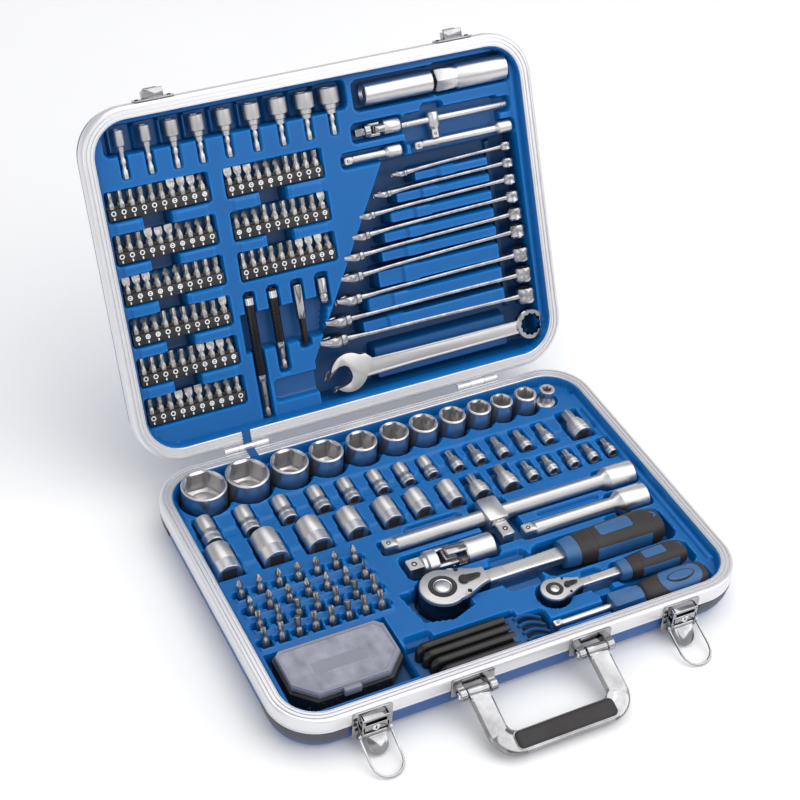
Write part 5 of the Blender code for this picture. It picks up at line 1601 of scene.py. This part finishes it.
def large_wrench():
    """The flat combination wrench: forked jaw, recessed shank panel and a twelve-point ring."""
    v, z0, z1 = -122.0, 23.5, 30.0
    made = Maker()
    # shank with a sunken panel
    edge = [(8, -7.6), (60, -6.6), (172, -6.0), (176, -8.0)]
    outline = [(px, v + py) for px, py in edge] + [(px, v - py) for px, py in reversed(edge)]
    made.slab(outline, z0 + 1.0, z1 - 1.4, "satin_chrome", chamfer=0.8, segments=2)
    for side in (-1, 1):
        strip = [
            (7, v + side * 8.4), (58, v + side * 7.0), (174, v + side * 6.2), (174, v + side * 4.6),
            (58, v + side * 5.0), (7, v + side * 5.8)
        ]
        made.slab(
            strip if side > 0 else strip[::-1], z1 - 2.2, z1 - 0.7, "satin_chrome", chamfer=0.35, segments=2
        )
    # ring
    turns = [math.tau * k / 72 for k in range(72)]
    outer = [15.0] * 72
    inner = [10.8 * polar("points", a) for a in turns]
    rings = []
    for reaches, share, z in (
        (inner, 1, z0 + 0.6), (outer, 1, z0), (outer, 1, z1 - 1.0), (outer, 0.94, z1), (inner, 1.04, z1),
        (inner, 1, z1 - 0.8)
    ):
        rings.append(
            [(187 + share * r * math.cos(a), v + share * r * math.sin(a), z) for r, a in zip(reaches, turns)]
        )
    made.skin(rings, "chrome", closed=True)
    # forked jaw, turned a little
    outline = arc(0, 0, 15.0, 40, 152, 16)
    outline += [
        (-17.0, 4.0), (-14.8, 6.6), (-5.5, 7.9), (-1.4, 7.0), (1.0, 4.2), (1.6, 0.0), (1.0, -4.2), (-1.4, -7.0),
        (-5.5, -7.9), (-14.8, -6.6), (-17.4, -8.5)
    ]
    outline += arc(0, 0, 15.0, 208, 320, 16)
    outline += [(14.6, -6.4), (18.5, -4.2), (20.5, 2.0), (17.0, 7.4), (13.2, 8.4)]
    place = aim("Z", (-5.0, v, 0), 15.0) @ Matrix.Diagonal((1.24, 1.24, 1, 1))
    made.slab(outline, z0 + 0.2, z1 - 0.1, "satin_chrome", place, chamfer=0.8, segments=2)
    made.done("large_combination_wrench", "large_wrench", "satin_steel", "wrench_large")


class TOOLSET_OT_lid_tools(bpy.types.Operator):
    """Builds every tool held in the lid"""

    bl_idname = "toolset.lid_tools"
    bl_label = "Tools in the lid"

    def execute(self, context):
        for number, (x, r) in enumerate(DRIVERS, 1):
            nut_driver(number, x, r)
        for number, (cx, v) in enumerate(STRIPS, 1):
            bit_strip(number, cx, v)
        bit_holders()
        plug_sockets()
        small_joint()
        t_bar()
        slim_extensions()
        for number, wrench in enumerate(WRENCHES, 1):
            edge_wrench(number, *wrench)
        large_wrench()
        return {"FINISHED"}


# ---------------------------------------------------------------- latches, handle


def latch(side, x):
    """A housing with its keyhole, and the lever with its paddle."""
    y = -OUT_Y
    made = Maker()
    made.slab(rounded(-17.5, 17.5, 8.2, 37.0, 3.0), 0, 1.3, "chrome", aim("-Y", (x, y, 0)), 0.4, 2)
    flange = aim("-Y", (x, y - 0.6, 0))
    # The two slots in the flange are dark shapes: painted shade.
    for z in (24.0, 29.5):
        made.slab(rounded(-17.0, -13.4, z, z + 3.6, 1.6), 0.5, 1.0, "painted_slot_shade", flange)
    made.block(x - 12.0, x + 12.0, y - 8.2, y - 0.8, 31.6, 34.2, "chrome", 0.9, 3)
    made.block(x - 12.0, x + 12.0, y - 8.2, y - 0.8, 20.4, 27.4, "chrome", 0.9, 3)
    for s in (-1, 1):
        low, high = sorted((s * 9.0, s * 12.0))
        made.block(x + low, x + high, y - 8.2, y - 0.8, 20.4, 34.2, "chrome", 0.8, 3)
        low, high = sorted((s * 10.4, s * 12.2))
        made.block(x + low, x + high, y - 8.6, y - 1.2, 11.6, 22.0, "chrome", 0.7, 2)
    # A dark block behind the opening of the housing: painted shade.
    made.block(x - 9.4, x + 9.4, y - 3.6, y - 1.0, 27.0, 32.0, "painted_slot_shade", 0.1)
    made.turned(
        [(0, 0), (3.4, 0), (3.4, 0.7), (2.7, 1.0), (2.5, 0.5), (0, 0.5)], "bright_band",
        aim("-Y", (x, y - 7.9, 23.6)), 32
    )
    # The keyhole slit is a dark block: painted shade.
    made.block(x - 0.5, x + 0.5, y - 8.7, y - 8.2, 22.0, 25.2, "painted_slot_shade", 0.1)
    made.turned(
        [(0, 0), (1.9, 0), (1.9, 26.6), (0, 26.6)], "chrome",
        aim("X", (x - 13.3, LATCH_PIVOT_Y, LATCH_PIVOT_Z)), 20
    )
    made.done("latch_%s_box" % side, "base", "chrome", "latch_%s_housing" % side)
    # lever
    tilt = Matrix.Translation((x, LATCH_PIVOT_Y, LATCH_PIVOT_Z)) @ Matrix.Rotation(math.radians(45), 4, "X")
    made = Maker()
    made.turned(
        [(1.35, 0), (2.3, 0), (2.3, 18.0), (1.35, 18.0), (1.35, 0)], "chrome", tilt @ aim("X", (-9.0, 0, 0)), 24
    )
    plate = [(8.6, 0.6), (-8.6, 0.6), (-8.6, -8.4)] + arc(0, -8.4, 8.6, 200, 340, 12) + [(8.6, -8.4)]
    turn = tilt @ Matrix.Translation((0, -1.2, 0))
    made.slab(plate, -1.0, 0.9, "chrome", turn, 0.5, 2)
    rib = [(6.2, -2.4), (-6.2, -2.4), (-6.2, -8.0)] + arc(0, -8.0, 6.2, 200, 340, 10) + [(6.2, -8.0)]
    made.slab(rib, 0.4, 1.5, "chrome", turn, 0.4, 2)
    made.done("latch_%s_paddle" % side, "latch_lever_" + side, "chrome", "latch_%s_lever" % side)


class TOOLSET_OT_hardware(bpy.types.Operator):
    """Builds the latches, the catches, the carrying handle and the rim joints"""

    bl_idname = "toolset.hardware"
    bl_label = "Latches, catches and handle"

    def execute(self, context):
        for side, sign in SIDES:
            latch(side, sign * LATCH_X)
            catch(side, sign * LATCH_X)
        handle()
        rim_joints()
        return {"FINISHED"}


def catch(side, x):
    """The hooked striker on the free edge of the lid."""
    made = Maker()
    y = OUT_Y
    face = aim("-Y", (x, y + 0.3, 0))
    made.slab(rounded(-18, 18, 25.2, 37.2, 2.4), -1.3, 0, "chrome", face, 0.4, 2)
    for s in (-1, 1):
        # The slots in the plate are dark shapes: painted shade.
        made.slab(rounded(s * 14.6 - 1.6, s * 14.6 + 1.6, 29.2, 33.2, 1.5), -1.8, -1.2, "painted_slot_shade", face)
        low, high = sorted((s * 7.4, s * 9.2))
        made.block(x + low, x + high, y + 1.2, y + 7.6, 25.6, 34.0, "chrome", 0.6, 2)
    made.block(x - 9.2, x + 9.2, y + 1.2, y + 9.7, 32.0, 34.2, "chrome", 0.7, 2)
    made.block(x - 6.0, x + 6.0, y + 1.0, y + 9.8, 26.6, 28.4, "chrome", 0.6, 2)
    made.block(x - 6.0, x + 6.0, y + 8.0, y + 9.8, 24.6, 28.4, "chrome", 0.6, 2)
    made.done("catch_%s_hook" % side, "lid", "chrome", "catch_" + side)


def handle():
    """The flat chrome bow with its padded grip."""
    made = Maker()
    tilt = Matrix.Translation((0, HANDLE_PIVOT_Y, HANDLE_PIVOT_Z)) @ Matrix.Rotation(math.radians(18.5), 4, "X")
    reach, half = 62.0, 64.0
    outer = [(-half, -5.2)] + arc(-half + 24, -reach + 24, 24, 180, 270, 10)
    outer += arc(half - 24, -reach + 24, 24, 270, 360, 10) + [(half, -5.2)]
    inner_half = half - 18
    inner = [(-inner_half, -5.2)] + arc(-inner_half + 8, -reach + 28, 8, 180, 270, 10)
    inner += arc(inner_half - 8, -reach + 28, 8, 270, 360, 10) + [(inner_half, -5.2)]

    def ring_at(outline, grow, z):
        made_ring = []
        for px, py in outline:
            sign = 1 if px > 0 else -1
            made_ring.append((px + sign * grow, py - (grow if py < -8 else 0), z))
        return made_ring

    profile = (
        (outer, -0.9, -2.9), (outer, 0.0, -1.6), (outer, 0.0, 1.4), (outer, -1.6, 3.0), (inner, 1.6, 3.0),
        (inner, 0.0, 1.4), (inner, 0.0, -1.6), (inner, 0.9, -2.9)
    )
    rows = [ring_at(*station) for station in profile]
    rings = [[row[i] for row in rows] for i in range(len(outer))]
    made.skin(rings, "chrome", tilt)
    for s in (-1, 1):
        made.turned(
            [(1.75, 0), (4.4, 0), (4.47, 0.4), (4.47, 17.6), (4.4, 18.0), (1.75, 18), (1.75, 0)], "chrome",
            tilt @ aim("X", (s * 55.0 - 9.0, 0, 0)), 28
        )
        made.block(s * 55.0 - 8.9, s * 55.0 + 8.9, -9.0, -3.2, -2.6, 2.8, "chrome", 0.8, 2, tilt)
    made.done("handle_strap", "handle", "chrome", "handle_bow")
    made = Maker()
    outline = rounded(-46, 46, -59.6, -42.6, 5.0, 8)
    made.slab(outline, 2.2, 3.7, "chrome", tilt, 0.6, 2)
    rows = []
    for inset, z in ((0.9, 3.0), (0.9, 4.6), (1.8, 5.7), (3.4, 6.3), (5.4, 6.5)):
        rows.append(
            [
                (px, py, z) for px,
                py in rounded(-46 + inset, 46 - inset, -59.6 + inset, -42.6 - inset, max(0.8, 5.0 - inset), 8)
            ]
        )
    made.skin(rows, "black_rubber", tilt)
    made.done("handle_cushion", "handle", "black_plastic", "handle_pad")
    for side, sign in SIDES:
        x = sign * HANDLE_X
        made = Maker()
        plate = aim("-Y", (x, -OUT_Y, 0))
        made.slab(rounded(-19.5, 19.5, 17.2, 37.0, 2.5), 0, 1.6, "chrome", plate, 0.5, 2)
        for s in (-1, 1):
            low, high = sorted((s * 10.2, s * 17.0))
            made.block(x + low, x + high, HANDLE_PIVOT_Y, -OUT_Y - 0.8, 22.6, 31.6, "chrome", 0.6)
            made.turned(
                [(0, 0), (4.4, 0), (5.2, 0.8), (5.2, 6.0), (4.4, 6.8), (0, 6.8)], "chrome",
                aim("X", (x + low, HANDLE_PIVOT_Y, HANDLE_PIVOT_Z)), 32
            )
            cap = x + (17.0 if s > 0 else -17.0)
            made.turned(
                [(0, 0), (3.0, 0), (2.4, 0.9), (0, 1.2)], "bright_band",
                aim("X" if s > 0 else "-X", (cap, HANDLE_PIVOT_Y, HANDLE_PIVOT_Z)), 24
            )
        made.turned(
            [(0, 0), (1.6, 0), (1.6, 22), (0, 22)], "chrome",
            aim("X", (x - 11.0, HANDLE_PIVOT_Y, HANDLE_PIVOT_Z)), 16
        )
        made.done("handle_mount_" + side, "base", "chrome", "handle_bracket_" + side)


def rim_joints():
    """The blue joint pieces where the ends of each rim meet beside the left hinge."""
    for half, y0, y1 in (("base", 146.6, 158.7), ("lid", -158.7, -146.6)):
        made = Maker()
        # The joint blocks reuse the darker blue made as painted recess shade.
        made.block(JOINT_AT - 4.2, JOINT_AT + 4.2, y0, y1, 33.0, 38.15, "tray_recess_shade", 0.4)
        made.done("rim_joint_" + half, half, "tray_blue")


class TOOLSET_OT_bails(bpy.types.Operator):
    """Gives the two wire bails and the four hinge leaves their metal"""

    bl_idname = "toolset.bails"
    bl_label = "Bail and hinge metal"

    def execute(self, context):
        for side, _ in SIDES:
            names = {"latch_%s_bail" % side: "chrome"}
            names.update({"hinge_%s_%s_leaf" % (side, half): "rim_aluminium" for half in HALVES})
            for name, finish in names.items():
                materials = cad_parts[name].data.materials
                materials.clear()
                materials.append(material(finish))
        return {"FINISHED"}


# ---------------------------------------------------------------- stage


# name, watts, side in metres, place in metres, turn in degrees
LIGHTS = (
    ("key_light", 27.0, 2.4, (1.0, -0.9, 1.7), (34, 0, 46)),
    ("fill_light", 8.0, 2.2, (-1.6, -1.3, 1.3), (52, 0, -50)),
    ("top_light", 11.0, 1.6, (0.2, 0.7, 2.2), (-17, 0, 0))
)
# bands of the sky, from straight down to straight up
SKY = ((0.0, 0.30), (0.12, 0.22), (0.26, 0.9), (0.5, 1.15), (0.66, 0.35), (0.8, 0.6), (1.0, 1.2))
SKY_STRENGTH = 0.78
CAMERA_LENS = 79.95
CAMERA_AT = (-0.5639, -0.9573, 1.1098)
CAMERA_RIGHT = (0.89813291, -0.43724002, 0.04667382)
CAMERA_FORWARD = (0.3618569, 0.67460809, -0.64339995)


class TOOLSET_OT_stage(bpy.types.Operator):
    """Sets the pale floor, soft studio light and the camera"""

    bl_idname = "toolset.stage"
    bl_label = "Floor, light and camera"

    def execute(self, context):
        scene = context.scene
        size = scene.tool_set_sizes.floor_size
        bm = bmesh.new()
        bmesh.ops.create_grid(bm, x_segments=2, y_segments=2, size=size / 2)
        mesh = bpy.data.meshes.new("studio_floor")
        bm.to_mesh(mesh)
        bm.free()
        mesh.materials.append(material("studio_white"))
        floor = bpy.data.objects.new("studio_floor", mesh)
        floor.location = (0, 0, -0.0002)
        scene.collection.objects.link(floor)
        for name, energy, side, spot, turn in LIGHTS:
            lamp = bpy.data.lights.new(name, "AREA")
            lamp.energy, lamp.size = energy, side
            holder = bpy.data.objects.new(name, lamp)
            holder.location = spot
            holder.rotation_euler = [math.radians(a) for a in turn]
            scene.collection.objects.link(holder)
        world = bpy.data.worlds.new("studio_sky")
        world.use_nodes = True
        sky = world.node_tree
        back = sky.nodes["Background"]
        place = sky.nodes.new("ShaderNodeTexCoord")
        split = sky.nodes.new("ShaderNodeSeparateXYZ")
        ramp = sky.nodes.new("ShaderNodeValToRGB")
        for spot, level in SKY:
            stop = ramp.color_ramp.elements.new(spot) if 0 < spot < 1 else ramp.color_ramp.elements[int(spot)]
            stop.color = (level, level, level * 1.03, 1)
        sky.links.new(place.outputs["Generated"], split.inputs["Vector"])
        sky.links.new(split.outputs["Z"], ramp.inputs["Fac"])
        sky.links.new(ramp.outputs["Color"], back.inputs["Color"])
        back.inputs["Strength"].default_value = SKY_STRENGTH
        scene.world = world
        scene.view_settings.view_transform = "Standard"
        camera = bpy.data.cameras.new("studio_camera")
        camera.sensor_width = 36
        camera.lens = CAMERA_LENS
        holder = bpy.data.objects.new("studio_camera", camera)
        right, forward = Vector(CAMERA_RIGHT), Vector(CAMERA_FORWARD)
        up = right.cross(forward)
        turn = Matrix((right, up, -forward)).transposed().to_4x4()
        holder.matrix_world = Matrix.Translation(CAMERA_AT) @ turn
        scene.collection.objects.link(holder)
        scene.camera = holder
        return {"FINISHED"}


class TOOLSET_OT_finishes(bpy.types.Operator):
    """Makes the plastics, metals and the floor finish"""

    bl_idname = "toolset.finishes"
    bl_label = "Finishes"

    def execute(self, context):
        build_finishes(finish_of(context))
        cover_window(finish_of(context))
        surface("studio_white", (0.95, 0.95, 0.95), (0.97, 0.97, 0.97), (0.8, 0.9), grain=40, bump=0, patches=3)
        return {"FINISHED"}


OPERATORS = (
    TOOLSET_OT_finishes, TOOLSET_OT_case, TOOLSET_OT_trays, TOOLSET_OT_sockets, TOOLSET_OT_bits,
    TOOLSET_OT_bars, TOOLSET_OT_drivers, TOOLSET_OT_boxes, TOOLSET_OT_lid_tools, TOOLSET_OT_hardware,
    TOOLSET_OT_bails, TOOLSET_OT_stage
)


class TOOLSET_PT_panel(bpy.types.Panel):
    """Lists the sizes, colours and building steps of the tool set"""

    bl_label = "Tool set"
    bl_idname = "TOOLSET_PT_panel"
    bl_space_type = "VIEW_3D"
    bl_region_type = "UI"
    bl_category = "Tool set"

    def draw(self, context):
        column = self.layout.column()
        for group in (context.scene.tool_set_finish, context.scene.tool_set_sizes):
            for name in group.__annotations__:
                column.prop(group, name)
        for operator in OPERATORS:
            column.operator(operator.bl_idname)


CLASSES = (ToolSetFinish, ToolSetSizes, *OPERATORS, TOOLSET_PT_panel)


def register():
    for cls in CLASSES:
        bpy.utils.register_class(cls)
    bpy.types.Scene.tool_set_finish = PointerProperty(type=ToolSetFinish)
    bpy.types.Scene.tool_set_sizes = PointerProperty(type=ToolSetSizes)


def unregister():
    del bpy.types.Scene.tool_set_sizes
    del bpy.types.Scene.tool_set_finish
    for cls in reversed(CLASSES):
        bpy.utils.unregister_class(cls)


def main():
    register()
    for operator in OPERATORS:
        group, name = operator.bl_idname.split(".")
        getattr(getattr(bpy.ops, group), name)()


if __name__ == "__main__":
    main()
